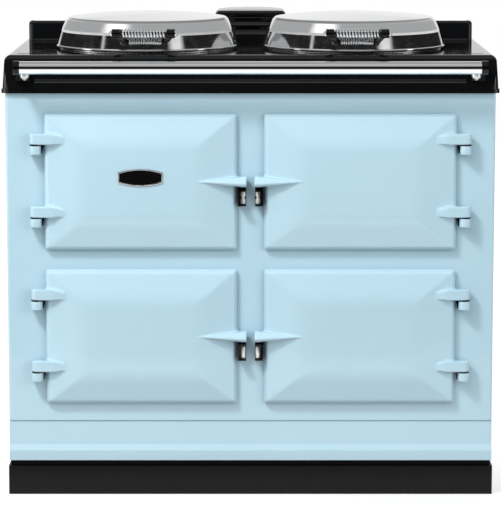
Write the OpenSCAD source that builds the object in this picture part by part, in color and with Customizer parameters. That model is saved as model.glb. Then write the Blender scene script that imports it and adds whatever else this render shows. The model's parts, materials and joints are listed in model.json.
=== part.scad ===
// Cast iron range cooker: a free-standing heat-storage range with three ovens, a control
// compartment, two covered hotplates and a handrail. Lengths are in millimetres.
// The origin is on the floor under the middle of the plinth. +X points to the right of
// someone who faces the doors, -Y points out of the front and +Z points up.

/* [Overall] */
// Width of the top plate over its lip
top_w = 1000; // [970:5:1060]
// Depth of the top plate over its lip
top_d = 698; // [680:2:740]
// Height of the hob surface above the floor
hob_h = 900; // [885:5:930]
// How far the top plate's lip stands out past the body on every side
lip_out = 8; // [5:1:12]

/* [Plinth and base] */
// Height of the plinth
plinth_h = 59; // [50:1:75]
// Set-back of the plinth's sides from the lip
plinth_in = 6; // [3:1:8]
// Thickness of the folded sheet steel in the plinth and base frame
base_sheet_t = 3; // [2:0.5:4]
// Width of the plinth's top flange
plinth_flange_w = 50; // [44:1:70]
// Width of the plinth's centre rail
centre_rail_w = 60; // [40:2:90]
// Height of the dark slot above the plinth
slot_h = 12; // [9:1:18]
// Set-back of the slot from the plinth
slot_in = 5; // [3:1:8]
// Radius of a levelling foot
foot_r = 20; // [14:1:22]
// Thickness of a levelling foot
foot_t = 8; // [5:1:12]
// Radius of a levelling foot's stud
foot_stud_r = 6; // [4:0.5:8]
// Radius of a levelling foot's nut over its corners
foot_nut_r = 11; // [10:0.5:13]
// Height of a levelling foot's nut
foot_nut_h = 5; // [3:0.5:6]

/* [Casing] */
// Height of the lower front panel
lower_panel_h = 83; // [70:1:95]
// Height of the seam between the lower panel and the front plate
seam_h = 0.6; // [0.3:0.1:0.9]
// Height of the lower panel's bead above the panel's bottom edge
bead_rise = 27; // [20:1:40]
// Radius of the bead
bead_r = 10; // [8:0.5:14]
// How far the bead stands out
bead_out = 4; // [2:0.5:6]
// Thickness of the front plate and lower panel
plate_t = 12; // [9:0.5:14]
// Radius of the front plate's upright edges
plate_edge_r = 5; // [2:0.5:8]
// Thickness of the side and rear panels
panel_t = 2; // [1.5:0.5:3]
// Width of a side panel's folded flanges
panel_flange_w = 15; // [12:1:18]
// Radius of a panel screw's shank
screw_r = 2.5; // [2:0.5:3]
// Radius of a panel screw's head
screw_head_r = 5; // [4:0.5:7]
// Distance of the end screws from the top and bottom of the rear panel
screw_end_in = 40; // [25:5:60]
// Number of screws up each side of the rear panel
screw_count = 5; // [3:1:8]
// Number of cooling slots in each row of the rear panel
rear_slot_count = 12; // [4:1:16]

/* [Doors] */
// Width of a door
door_w = 387; // [380:1:392]
// Gap between the upper doors and the front plate's top edge
door_head = 40.9; // [34:0.1:50]
// Gap between the left and right doors
door_gap = 54; // [54:1:60]
// Height of the bottom doors above the front plate's lower edge
door_rise = 37; // [25:1:45]
// Gap between the upper and lower doors
row_gap = 39.5; // [34:0.5:46]
// Gap between the front plate and a door's back
door_stand_off = 3; // [2.5:0.5:4]
// Straight thickness of a door's rim
door_rim_t = 6; // [4:0.5:8]
// Rise of the rounded shoulder behind the rim
door_shoulder_t = 7; // [5:0.5:9]
// Set-back of the shoulder from the door's edge
door_shoulder_in = 8; // [6:1:14]
// Rise of the slope from the shoulder to the flat field
door_slope_t = 16; // [10:1:20]
// Set-back of the field from the door's sides
field_in_x = 76; // [60:1:90]
// Set-back of the field from the door's top and bottom
field_in_z = 62; // [50:1:75]
// Radius of a door's corners
door_corner_r = 5; // [3:1:9]
// Clearance between a door liner and its aperture
liner_clear = 12; // [10:1:16]
// Depth of a door liner behind the door
liner_d = 38; // [25:1:45]
// Radius of a liner's corners
liner_corner_r = 10; // [5:1:15]

/* [Door seals] */
// Width of a door seal
seal_w = 7; // [5:0.5:8]
// Depth of the groove that holds a seal
seal_groove = 2; // [1.5:0.5:3]
// Clearance between a seal and the door that closes on it
seal_gap = 0.3; // [0.3:0.1:0.6]
// Distance from an aperture to its seal
seal_in = 1.5; // [1:0.5:2]

/* [Door hinges] */
// Distance from a door's outer side to its hinge axis
hinge_out = 17.5; // [16:0.5:22]
// Distance from the front plate to the hinge axis
hinge_depth = 18; // [16:0.5:22]
// Radius of a hinge barrel
barrel_r = 11.5; // [9:0.5:13]
// Height of a hinge lug on a door
lug_h = 22; // [18:1:26]
// Height of the lower lug's middle above the door's bottom edge
lug_rise_low = 79; // [60:1:90]
// Distance of the upper lug's middle below the door's top edge
lug_drop = 50; // [40:1:70]
// Reach of a lug across the door, from the hinge axis
lug_reach = 60; // [45:1:75]
// Height of a lug at its inner end
lug_tip_h = 15; // [10:1:18]
// Gap between a lug and the fixed bracket under it
lug_gap = 2.6; // [1:0.2:4]
// Height of a fixed hinge bracket
bracket_h = 17; // [14:1:22]
// Radius of a hinge pin
pin_r = 4; // [3:0.5:5]
// Solid metal left above the pin in a lug and below it in a bracket
pin_cover = 3; // [2:0.5:5]

/* [Catches] */
// Height of a catch arm's lower edge above the door's bottom edge
arm_rise = 130.3; // [120:0.1:145]
// Height of a catch arm at its free end
arm_h = 20.6; // [16:0.2:24]
// Distance of a catch arm's free end from the centre line
arm_end_x = 8; // [6:0.5:10]
// Length of the catch arm over the door's edge and field
arm_len = 91; // [80:1:110]
// How far the arm stands out past the door's field
arm_proud = 7; // [4:0.5:10]
// Clearance under a catch arm
arm_gap = 1; // [0.6:0.1:2]
// Height of a catch bracket
catch_h = 38; // [34:1:44]
// Distance of a catch bracket's inner side from the centre line
catch_in_x = 9; // [8:0.5:10]
// Distance of a catch bracket's outer side from the centre line
catch_out_x = 25.5; // [24.5:0.1:25.5]
// Thickness of a catch bracket's side wall and back
catch_wall = 4; // [3:0.2:4]
// Thickness of a catch bracket's top tab
catch_top_t = 9; // [6:0.5:11]
// Thickness of a catch bracket's bottom tab
catch_foot_t = 3; // [2:0.5:5]
// Distance a catch bracket stands out from the front plate
catch_d = 27; // [25:0.5:30]
// Radius of a catch roller
roller_r = 5.6; // [4.5:0.1:5.8]
// Radius of the spigot that a catch roller turns on
spigot_r = 2.5; // [2:0.1:3]
// Height of the groove round an upper catch roller
roller_groove_h = 4.5; // [3:0.5:7]
// Depth of the groove round an upper catch roller
roller_groove_d = 1.8; // [1:0.1:2]

/* [Badge] */
// Length of the badge plate
badge_l = 85; // [60:1:110]
// Height of the badge plate at its middle
badge_h = 30; // [22:1:40]
// Height of the badge plate at its ends
badge_end_h = 16; // [12:1:20]
// Thickness of the badge plate
badge_t = 1.6; // [1:0.2:3]
// Width of the badge's rim
badge_rim_w = 2.4; // [1.5:0.1:4]
// Thickness of the badge's rim
badge_rim_t = 2.6; // [1.8:0.2:4]
// Height of the badge's middle above the door's bottom edge
badge_rise = 150; // [100:1:180]

/* [Top plate] */
// Height of the top plate's apron
apron_h = 76; // [68:1:84]
// Height of the lip
lip_h = 8; // [5:0.5:12]
// Step from the lip back to the apron
lip_step = 2.6; // [1.5:0.1:4]
// Slope of the apron, as its set-back at the top
apron_draft = 4.4; // [0:0.2:6]
// Radius of the rounded edge between the apron and the hob
edge_r = 13; // [8:0.5:18]
// Radius of the top plate's corners seen from above
plan_r = 14; // [6:1:18]
// Wall thickness of the casting
cast_t = 8; // [6:0.5:10]
// Height of the rib along the apron above the lip's lower edge
rib_rise = 24; // [18:1:30]
// Radius of the apron's rib
rib_r = 5; // [3:0.5:7]
// How far the apron's rib stands out
rib_out = 2; // [1:0.2:3]
// Distance from the end of the apron's rib to the lip's end
rib_in = 68; // [40:2:120]
// Radius of a flush disc in the hob
disc_r = 13.5; // [10:0.5:18]
// Distance of the flush discs from the lip's side
disc_in_x = 42; // [36:1:50]
// Distance of the flush discs from the lip's front
disc_in_y = 66; // [50:1:90]

/* [Rear ledge and vent] */
// Distance of the ledge's front face from the lip's front
ledge_y = 416; // [412:1:425]
// Height of the ledge's upstand above the hob
ledge_h = 43; // [36:1:44]
// Thickness of the upstand
ledge_t = 14; // [10:1:16]
// Height of the ledge's deck above the hob
deck_h = 22; // [16:1:26]
// Set-back of the ledge's sides from the lip
ledge_in_x = 21; // [18:1:30]
// Depth of the returns at the ends of the ledge's upstand
ledge_return = 30; // [26:1:48]
// Set-back of the ledge's back from the lip
ledge_in_back = 18; // [16:1:30]
// Radius of the ledge's corners
ledge_corner_r = 10; // [6:1:14]
// Radius of the cove at the foot of the ledge
cove_r = 6; // [3:1:9]
// Width of the vent housing
vent_w = 158; // [140:2:180]
// Depth of the vent housing
vent_d = 160; // [140:2:180]
// Height of the vent housing above the hob
vent_h = 66; // [58:1:80]
// How far the vent housing stands in front of the ledge
vent_proud = 6; // [3:1:10]
// Radius of the vent housing's front corners
vent_corner_r = 10; // [6:1:14]
// Wall thickness of the vent housing
vent_wall = 16; // [14:1:20]
// Depth of the vent housing's louvre grooves
louvre_d = 8; // [5:0.5:10]
// Radius of the vent duct
duct_r = 22; // [18:1:26]
// Wall thickness of the vent duct
duct_wall = 2; // [1.5:0.5:3]
// Distance of the vent duct from the ledge's front face
duct_in = 54; // [45:1:70]
// Radius of a vent stub into an oven
stub_r = 10; // [7:1:14]

/* [Hotplates] */
// Distance of a hotplate's centre from the centre line
hotplate_x = 214; // [212:1:222]
// Distance of a hotplate's centre from the lip's front
hotplate_y = 214; // [210:1:220]
// Radius of a hotplate
hotplate_r = 172; // [160:1:174]
// Thickness of a hotplate
hotplate_t = 43; // [34:1:50]
// How far a hotplate stands above the hob
hotplate_up = 5; // [4:0.5:6]
// Width of the trim ring round a hotplate
trim_w = 9; // [6:0.5:10]
// Height of the trim ring
trim_h = 3; // [2:0.5:3.5]
// Overlap of the trim ring onto the hob
trim_seat = 7; // [4:0.5:8]
// Thickness of the ring wall that carries a hotplate
support_t = 8; // [6:1:12]
// Set-back of that ring from the hotplate's edge
support_in = 4; // [2:1:10]
// Radius of a heating element's tube
element_r = 4; // [3:0.5:5]
// Distance of an oven's heating element from the oven's front and back
element_in = 20; // [10:1:40]

/* [Lids] */
// Radius of a lid at its foot
lid_r = 188; // [186:1:189]
// Gap between the hob and a lid's foot
lid_lift = 5; // [4.5:0.5:7]
// Radius of a lid at the crease in its wall
lid_crease_r = 179; // [176:1:182]
// Height of the crease above the hob
lid_crease_h = 36; // [30:1:42]
// Radius of a lid at its shoulder
lid_shoulder_r = 170; // [167:1:174]
// Height of the shoulder above the hob
lid_shoulder_h = 58; // [54:1:61]
// Radius of the dome's edge inside the rounded shoulder
lid_dome_r = 163; // [155:1:166]
// Height of the dome's edge above the hob
lid_dome_h = 65; // [61.5:0.5:67]
// Height of the middle of the dome above the hob
lid_h = 75; // [70:1:80]
// Wall thickness of a lid's shell
lid_wall = 2.5; // [2:0.5:3]
// Radius of the bead round a lid's foot
lid_bead_r = 2; // [1.5:0.5:2.5]
// Gap between the hob and a lid's liner
liner_lift = 8.5; // [7:0.5:10]
// Thickness of a lid's liner
lid_liner_t = 14; // [8:1:18]

/* [Lid handles] */
// Distance of a handle's axis in front of the lid's foot
handle_out = 20; // [18:0.5:24]
// Height of a handle's axis above the hob
handle_h = 43; // [38:0.5:48]
// Length of the coil between its lugs
coil_l = 94; // [80:1:110]
// Number of turns in the coil
coil_turns = 14; // [8:1:16]
// Radius of the coil's centre line at its ends
coil_end_r = 7.2; // [6.5:0.1:8.5]
// Radius of the coil's centre line at its middle
coil_mid_r = 8.8; // [7.5:0.1:10]
// Radius of the coil's wire
coil_wire_r = 1.8; // [1.4:0.1:2]
// Thickness of a handle lug
handle_lug_t = 16; // [8:0.5:18]
// Radius of a handle lug round the coil's axis
handle_lug_r = 9; // [8:0.5:10]
// Radius of the rod inside the coil
handle_rod_r = 3.5; // [3:0.5:4]
// Length of the cap on each end of a handle
handle_cap_l = 6; // [4:0.5:9]
// Radius of the cap on each end of a handle
handle_cap_r = 6; // [5:0.5:8]

/* [Lid hinges] */
// Distance of the lid hinge axis behind the ledge's front face
lid_pin_back = 54; // [50:1:60]
// Height of the lid hinge axis above the hob
lid_pin_h = 40; // [38:0.5:42]
// Radius of a lid hinge rod
lid_pin_r = 5; // [4:0.5:6]
// Distance of the hinge arms from the lid's middle
lid_arm_x = 70; // [60:1:80]
// Width of a hinge arm
lid_arm_w = 14; // [10:1:18]
// Height of a hinge arm above the ledge's upstand
lid_arm_gap = 3; // [2:0.5:5]
// Thickness of a hinge arm
lid_arm_t = 10; // [8:0.5:12]
// Radius of a hinge arm's eye
lid_eye_r = 10; // [9:0.5:11]
// Thickness of a hinge block's ears
lid_ear_t = 8; // [6:0.5:12]

/* [Handrail] */
// Radius of the handrail
rail_r = 13; // [10:0.5:15]
// Wall thickness of the handrail
rail_wall = 2; // [1.5:0.5:3]
// Distance of the handrail's axis in front of the lip
rail_out = 60; // [52:1:70]
// Height of the handrail's axis below the hob
rail_drop = 20; // [17:1:22]
// Distance of the handrail's ends from the lip's ends
rail_in = 44; // [38:1:60]
// Thickness of the block at each end of the handrail
rail_block_t = 13; // [10:1:16]
// Distance from the handrail's axis down to the chrome bosses
boss_drop = 20; // [16:1:22]
// Radius of a chrome boss
boss_r = 9.5; // [8:0.5:12]
// Length of a chrome boss
boss_l = 8; // [5:0.5:12]
// Thickness of the bracket's foot on the apron
rail_foot_t = 8; // [6:0.5:10]

/* [Ovens] */
// How far a door laps over each side of its aperture
door_lap_x = 19; // [18.5:0.5:24]
// How far a door laps over the top and bottom of its aperture
door_lap_z = 12.5; // [12:0.5:16]
// Distance from the vent duct's axis to the back of an oven
oven_behind_duct = 38; // [32:1:60]
// Wall thickness of an oven
oven_wall = 8; // [6:0.5:10]
// Radius of an aperture's corners
aperture_r = 12; // [6:1:16]
// Number of shelf runners on each side of an oven
runner_count = 4; // [2:1:5]
// Distance between shelf runners
runner_pitch = 50; // [36:1:56]
// Height of the lowest runner above the oven's floor
runner_rise = 45; // [25:1:60]
// How far a runner stands out of the oven's wall
runner_out = 8; // [5:0.5:10]
// Height of a runner
runner_t = 5; // [3:0.5:7]
// Runner that carries the shelf, counted from 0 at the bottom
shelf_level = 1; // [0:1:1]
// Radius of a shelf's frame wire
shelf_frame_r = 3.5; // [3:0.5:4]
// Radius of a shelf's cross wires
shelf_wire_r = 2.5; // [2:0.25:3]
// Number of a shelf's cross wires
shelf_wire_count = 13; // [7:1:19]
// Clearance between a shelf and the oven's sides
shelf_clear = 2; // [1:0.5:4]

/* [Controls] */
// Depth of the control compartment in front of its fascia
fascia_depth = 100; // [85:1:130]
// Thickness of the fascia and of the compartment's walls
fascia_t = 3; // [2:0.5:4]
// Distance between the knobs
knob_pitch = 96; // [60:1:110]
// Radius of a knob's grip
knob_r = 17; // [13:0.5:20]
// Radius of a knob's skirt
knob_skirt_r = 22; // [20:0.5:26]
// Length of a knob
knob_l = 24; // [18:1:28]
// Radius of a knob's shaft
shaft_r = 3; // [2.5:0.5:4]
// Width of a control switch
switch_w = 42; // [30:1:50]
// Depth of a control switch
switch_d = 34; // [25:1:45]

/* [Cable inlet] */
// Radius of the cable gland's bore
gland_bore_r = 7.5; // [5:0.5:8]
// Radius of the gland's threaded body
gland_r = 10; // [9:0.5:12]
// Radius of the gland's flange and nut over their corners
gland_flange_r = 16; // [14:0.5:20]
// Distance of the gland from the centre line
gland_x = 300; // [150:5:400]
// Height of the gland above the base frame
gland_rise = 60; // [40:5:120]

/* [Fits] */
// Radial clearance of a running fit
run_clear = 0.05; // [0.03:0.01:0.1]
// Clearance between a seated piece and what carries it
seat_clear = 0.3; // [0.2:0.05:0.5]
// Side clearance of a moving piece in its fork or between its tabs
side_clear = 0.4; // [0.3:0.1:0.8]

/* [Hidden] */
$fn = 48;
form_fn = 32;
eps = 0.1;

// Planes and levels that several pieces share
lip_x = top_w / 2;
lip_y = top_d / 2;
body_x = lip_x - lip_out;
body_y = lip_y - lip_out;
plate_front = -body_y;
plate_back = plate_front + plate_t;
rear_face = body_y;
plinth_x = lip_x - plinth_in;
base_x = plinth_x - slot_in;
base_front = plate_front + slot_in;
base_back = rear_face - slot_in;
base_top = plinth_h + slot_h;
lower_top = base_top + lower_panel_h;
plate_bottom = lower_top + seam_h;
plate_top = hob_h - apron_h;
hob_under = hob_h - cast_t;

// Door bays: column centre, and the bottom edge of the lower and upper rows
door_inner = door_gap / 2;
door_outer = door_inner + door_w;
bay_x = (door_inner + door_outer) / 2;
door_h = (plate_top - plate_bottom - door_rise - row_gap - door_head) / 2;
door_bottom = [plate_bottom + door_rise, plate_bottom + door_rise + door_h + row_gap];
bay_z = [door_bottom[0] + door_h / 2, door_bottom[1] + door_h / 2];
oven_w = door_w - 2 * door_lap_x;
oven_h = door_h - 2 * door_lap_z;
oven_roof = bay_z[1] + oven_h / 2 + oven_wall;
SIDES = [-1, 1];
ROWS = [0, 1];

// Door surfaces, from the back to the front
door_back = plate_front - door_stand_off;
rim_front = door_back - door_rim_t;
shoulder_front = rim_front - door_shoulder_t;
field_front = shoulder_front - door_slope_t;

// Door hinges and catches
hinge_x = door_outer + hinge_out;
hinge_y = plate_front - hinge_depth;
lug_rises = [lug_rise_low, door_h - lug_drop];
spigot_x = catch_out_x - catch_wall - side_clear - roller_r;
spigot_y = plate_front - catch_wall - side_clear * 2 - roller_r - spigot_r;
roller_h = catch_h - catch_top_t - catch_foot_t - 2 * side_clear;

// Hob
hotplate_cy = -lip_y + hotplate_y;
hotplate_top = hob_h + hotplate_up;
hotplate_bottom = hotplate_top - hotplate_t;
trim_inner_r = hotplate_r + seat_clear;
trim_outer_r = trim_inner_r + trim_w;
hob_hole_r = trim_outer_r - trim_seat;
support_outer_r = hotplate_r - support_in;
ledge_front = -lip_y + ledge_y;
ledge_x = lip_x - ledge_in_x;
ledge_back = lip_y - ledge_in_back;
vent_front = ledge_front - vent_proud;
duct_y = ledge_front + duct_in;
oven_back = duct_y + oven_behind_duct;
oven_d = oven_back - oven_wall - plate_back;
duct_bottom = bay_z[0] + oven_h / 4;
duct_top = hob_h + deck_h;

// Lids
lid_pin_y = ledge_front + lid_pin_back;
lid_pin_z = hob_h + lid_pin_h;
handle_y = hotplate_cy - lid_r - handle_out;
handle_z = hob_h + handle_h;
handle_lug_x = coil_l / 2;
lid_liner_top = liner_lift + lid_liner_t;
lid_arm_bottom = ledge_h + lid_arm_gap;

// Handrail
rail_x = lip_x - rail_in;
rail_y = -lip_y - rail_out;
rail_z = hob_h - rail_drop;
boss_x = rail_x - boss_r / 2;
boss_z = rail_z - boss_drop;

// Controls
fascia_y = plate_back + fascia_depth;
knob_x = [-bay_x - knob_pitch, -bay_x, -bay_x + knob_pitch];

// Points on an arc about [cx, cy], in steps from angle a0 to angle a1
function arc(cx, cy, r, a0, a1, steps) =
    [for (i = [0 : steps]) let (a = a0 + (a1 - a0) * i / steps) [cx + r * cos(a), cy + r * sin(a)]];

// Draws its children as they stand on the right side, or mirrored for the left side
module on_side(side) {
    if (side > 0) children();
    else mirror([1, 0, 0]) children();
}

// Stands a drawing in X and Z upright, from the plane y0 to the plane y0 + depth
module upright(y0, depth) {
    translate([0, y0 + depth, 0]) rotate([90, 0, 0]) linear_extrude(depth) children();
}

// Runs a drawing in Y and Z along X, from x0 over length
module along_x(x0, length) {
    translate([x0, 0, 0]) rotate([90, 0, 90]) linear_extrude(length) children();
}

// Box given by its lowest and highest corners
module span_box(low, high) {
    translate(low) cube(high - low);
}

// Cylinder along X or Y, from its first end over length
module rod_x(x, y, z, length, r) {
    translate([x, y, z]) rotate([0, 90, 0]) cylinder(h = length, r = r);
}

module rod_y(x, y, z, length, r) {
    translate([x, y, z]) rotate([-90, 0, 0]) cylinder(h = length, r = r);
}

// Rectangle with round corners, centred
module rounded(w, h, r) {
    square([w - 2 * r, h], center = true);
    square([w, h - 2 * r], center = true);
    for (x = SIDES, y = SIDES)
        translate([x * (w / 2 - r), y * (h / 2 - r)]) circle(r);
}

// ---- Plinth and base ----

module plinth() color("#242424") {
    depth = rear_face - plate_front;
    difference() {
        span_box([-plinth_x, plate_front, 0], [plinth_x, rear_face, plinth_h]);
        span_box([-plinth_x + base_sheet_t, plate_front + base_sheet_t, -eps],
                 [plinth_x - base_sheet_t, rear_face - base_sheet_t, plinth_h - base_sheet_t]);
        span_box([-plinth_x + plinth_flange_w, plate_front + plinth_flange_w, 0],
                 [plinth_x - plinth_flange_w, rear_face - plinth_flange_w, plinth_h + eps]);
        for (side = SIDES, end = SIDES)
            translate([side * foot_x(), end * foot_y(), 0]) cylinder(h = plinth_h + eps, r = foot_stud_r + seat_clear);
    }
    difference() {
        translate([-centre_rail_w / 2, plate_front + base_sheet_t, 0])
            cube([centre_rail_w, depth - 2 * base_sheet_t, plinth_h - base_sheet_t]);
        translate([-centre_rail_w / 2 + base_sheet_t, plate_front, base_sheet_t])
            cube([centre_rail_w - 2 * base_sheet_t, depth, plinth_h]);
    }
}

function foot_x() = plinth_x - plinth_flange_w / 2 - base_sheet_t / 2;
function foot_y() = rear_face - plinth_flange_w / 2 - base_sheet_t / 2;

module levelling_feet() color("silver")
    for (side = SIDES, end = SIDES)
        translate([side * foot_x(), end * foot_y(), 0]) {
            cylinder(h = foot_t, r = foot_r);
            cylinder(h = base_top - base_sheet_t - seat_clear, r = foot_stud_r);
            translate([0, 0, plinth_h]) cylinder(h = foot_nut_h, r = foot_nut_r, $fn = 6);
            translate([0, 0, plinth_h - base_sheet_t - foot_nut_h])
                cylinder(h = foot_nut_h, r = foot_nut_r, $fn = 6);
        }

module base_frame() color("#1c1c1c")
    difference() {
        span_box([-base_x, base_front, plinth_h], [base_x, base_back, base_top]);
        span_box([-base_x + base_sheet_t, base_front + base_sheet_t, plinth_h - eps],
                 [base_x - base_sheet_t, base_back - base_sheet_t, base_top - base_sheet_t]);
    }

// ---- Casing ----

module lower_panel() color("#b8d9e9") {
    span_box([-body_x, plate_front, base_top], [body_x, plate_back, lower_top]);
    intersection() {
        rod_x(-body_x, plate_front + bead_r - bead_out, base_top + bead_rise, 2 * body_x, bead_r);
        span_box([-body_x, plate_front - bead_out, base_top], [body_x, plate_back, lower_top]);
    }
}

module front_plate() color("#b8d9e9")
    difference() {
        translate([0, 0, plate_bottom]) linear_extrude(plate_top - plate_bottom) {
            translate([-body_x + plate_edge_r, plate_front])
                square([2 * (body_x - plate_edge_r), plate_t]);
            translate([-body_x, plate_front + plate_edge_r])
                square([2 * body_x, plate_t - plate_edge_r]);
            for (side = SIDES)
                translate([side * (body_x - plate_edge_r), plate_front + plate_edge_r])
                    circle(plate_edge_r);
        }
        for (side = SIDES, row = ROWS)
            translate([side * bay_x, 0, bay_z[row]]) {
                upright(plate_front - eps, plate_t + 2 * eps) rounded(oven_w, oven_h, aperture_r);
                upright(plate_front - eps, seal_groove + eps)
                    rounded(seal_outer_w(), seal_outer_h(), aperture_r + seal_in + seal_w);
            }
    }

function seal_outer_w() = oven_w + 2 * (seal_in + seal_w);
function seal_outer_h() = oven_h + 2 * (seal_in + seal_w);

module door_seals() color("#8b8578")
    for (side = SIDES, row = ROWS)
        translate([side * bay_x, 0, bay_z[row]])
            upright(door_back + seal_gap, plate_front + seal_groove - door_back - seal_gap)
                difference() {
                    rounded(seal_outer_w(), seal_outer_h(), aperture_r + seal_in + seal_w);
                    rounded(oven_w + 2 * seal_in, oven_h + 2 * seal_in, aperture_r + seal_in);
                }

// Side panel on the right, folded from one sheet
module side_panel() {
    difference() {
        span_box([body_x - panel_flange_w, plate_back, base_top],
                 [body_x, rear_face - panel_t, plate_top]);
        span_box([body_x - panel_flange_w - eps, plate_back + panel_t, base_top + panel_t],
                 [body_x - panel_t, rear_face - 2 * panel_t, plate_top - panel_t]);
        for (i = [0 : screw_count - 1])
            rod_y(screw_x(), rear_face - 3 * panel_t, screw_z(i), 3 * panel_t, screw_r + run_clear);
    }
}

function screw_x() = body_x - panel_flange_w / 2 - panel_t / 2;
screw_run = plate_top - base_top - 2 * screw_end_in;
function screw_z(i) = base_top + screw_end_in + i * screw_run / (screw_count - 1);

module side_panel_left() color("#b8d9e9") on_side(-1) side_panel();
module side_panel_right() color("#b8d9e9") on_side(1) side_panel();

module rear_panel() color("#9a9c9c") {
    slot_w = 40;
    slot_t = 5;
    slot_pitch = 1.7 * slot_w;
    first_x = -slot_pitch * (rear_slot_count - 1) / 2;
    difference() {
        span_box([-body_x, rear_face - panel_t, base_top], [body_x, rear_face, plate_top]);
        for (side = SIDES, i = [0 : screw_count - 1])
            rod_y(side * screw_x(), rear_face - 2 * panel_t, screw_z(i), 3 * panel_t, screw_r + run_clear);
        for (i = [0 : rear_slot_count - 1], row = [0 : 2])
            translate([first_x + i * slot_pitch, 0, plate_top - 60 - row * 4 * slot_t])
                upright(rear_face - 2 * panel_t, 3 * panel_t) square([slot_w, slot_t], center = true);
        rod_y(-gland_x, rear_face - 2 * panel_t, gland_z(), 3 * panel_t, gland_r + seat_clear);
    }
}

module panel_screws() color("silver")
    for (side = SIDES, i = [0 : screw_count - 1]) {
        rod_y(side * screw_x(), rear_face - 4 * panel_t, screw_z(i), 4 * panel_t + eps, screw_r);
        difference() {
            rod_y(side * screw_x(), rear_face, screw_z(i), screw_head_r / 2, screw_head_r);
            translate([side * screw_x() - screw_head_r, rear_face + screw_head_r / 4, screw_z(i) - 0.6])
                cube([2 * screw_head_r, screw_head_r, 1.2]);
        }
    }

function gland_z() = base_top + gland_rise;

module cable_gland() color("#202020") {
    flange_t = 6;
    difference() {
        union() {
            translate([-gland_x, rear_face, gland_z()]) rotate([-90, 0, 0])
                cylinder(h = flange_t, r = gland_flange_r, $fn = 6);
            rod_y(-gland_x, rear_face - 3 * flange_t, gland_z(), 4 * flange_t, gland_r);
            rod_y(-gland_x, rear_face + flange_t - eps, gland_z(), flange_t + eps, gland_r + 2);
            translate([-gland_x, rear_face - panel_t - flange_t, gland_z()]) rotate([-90, 0, 0])
                cylinder(h = flange_t, r = gland_flange_r, $fn = 6);
        }
        rod_y(-gland_x, rear_face - 4 * flange_t, gland_z(), 7 * flange_t, gland_bore_r);
    }
}

// ---- Top plate ----

// Section of the apron across the range: half_w at the lip, drafted, with a rounded edge
function apron_section(half_w, grow) = let (
        foot = half_w - lip_step + grow,
        head = foot - apron_draft,
        low = plate_top
    ) concat(
        [[-foot, low], [foot, low], [foot, low + lip_h]],
        arc(head - edge_r, hob_h - edge_r + grow, edge_r, 0, 90, 8),
        arc(-head + edge_r, hob_h - edge_r + grow, edge_r, 90, 180, 8),
        [[-foot, low + lip_h]]
    );

// The apron and hob as one block, used for the casting and to seat what touches it
module apron_block(grow = 0) {
    intersection() {
        upright(-lip_y - grow, top_d + 2 * grow) polygon(apron_section(lip_x, grow));
        along_x(-lip_x - grow, top_w + 2 * grow) polygon(apron_section(lip_y, grow));
        translate([0, 0, plate_top])
            linear_extrude(apron_h + 2 * grow)
                rounded(top_w - 2 * lip_step + 2 * grow, top_d - 2 * lip_step + 2 * grow, plan_r + grow);
    }
}

// Plan of the vent housing, with a half-round back
module vent_plan(grow = 0) {
    w = vent_w + 2 * grow;
    r = max(vent_corner_r + grow, 1);
    back_r = w / 2;
    y0 = vent_front - grow;
    y1 = vent_front + vent_d + grow - back_r;
    translate([-w / 2, y0 + r]) square([w, y1 - y0 - r]);
    translate([-w / 2 + r, y0]) square([w - 2 * r, r + eps]);
    for (side = SIDES) translate([side * (w / 2 - r), y0 + r]) circle(r);
    translate([0, y1]) circle(back_r);
}

module ledge_plan(inset = 0) {
    depth = ledge_back - ledge_front;
    translate([0, ledge_front + depth / 2])
        rounded(2 * (ledge_x - inset), depth - 2 * inset, max(ledge_corner_r - inset, 2));
}

// Raised ledge at the back: a deck behind an upstand that runs along the front and turns its ends
module ledge() {
    well_wall = cast_t;
    round_r = ledge_t / 2;
    difference() {
        translate([0, 0, hob_under]) linear_extrude(ledge_h + cast_t - round_r) ledge_plan();
        translate([0, 0, hob_h + deck_h]) linear_extrude(ledge_h) ledge_plan(ledge_t);
        span_box([-lip_x, ledge_front + ledge_return, hob_h + deck_h], [lip_x, lip_y, hob_h + ledge_h]);
        difference() {
            translate([0, 0, hob_under - eps]) linear_extrude(deck_h + eps) ledge_plan(ledge_t);
            translate([0, 0, hob_under - 2 * eps]) linear_extrude(deck_h + 3 * eps)
                vent_plan(well_wall + seat_clear);
        }
    }
    upstand_cap(round_r);
}

// Rounded top of the ledge's upstand
module upstand_cap(r) {
    z = hob_h + ledge_h - r;
    x = ledge_x - r;
    corner = max(ledge_corner_r - r, 1);
    difference() {
        union() {
            rod_x(-x + corner, ledge_front + r, z, 2 * (x - corner), r);
            for (side = SIDES) {
                rod_y(side * x, ledge_front + r + corner, z, ledge_return - r - corner, r);
                translate([side * (x - corner), ledge_front + r + corner, z])
                    rotate([0, 0, side > 0 ? -90 : 180]) rotate_extrude(angle = 90)
                        translate([corner, 0]) difference() {
                            circle(r);
                            translate([-2 * r - corner, -r]) square([2 * r, 2 * r]);
                        }
            }
        }
        translate([0, 0, hob_under - 1]) linear_extrude(ledge_h + 4 * cast_t)
            vent_plan(seat_clear);
    }
}

// Cove that fills the corner between the hob and the ledge's front face
module cove() {
    x0 = -ledge_x + ledge_corner_r;
    difference() {
        span_box([x0, ledge_front - cove_r, hob_under], [-x0, ledge_front + 1, hob_h + cove_r]);
        rod_x(x0 - eps, ledge_front - cove_r, hob_h + cove_r, -2 * x0 + 2 * eps, cove_r);
    }
}

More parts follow.
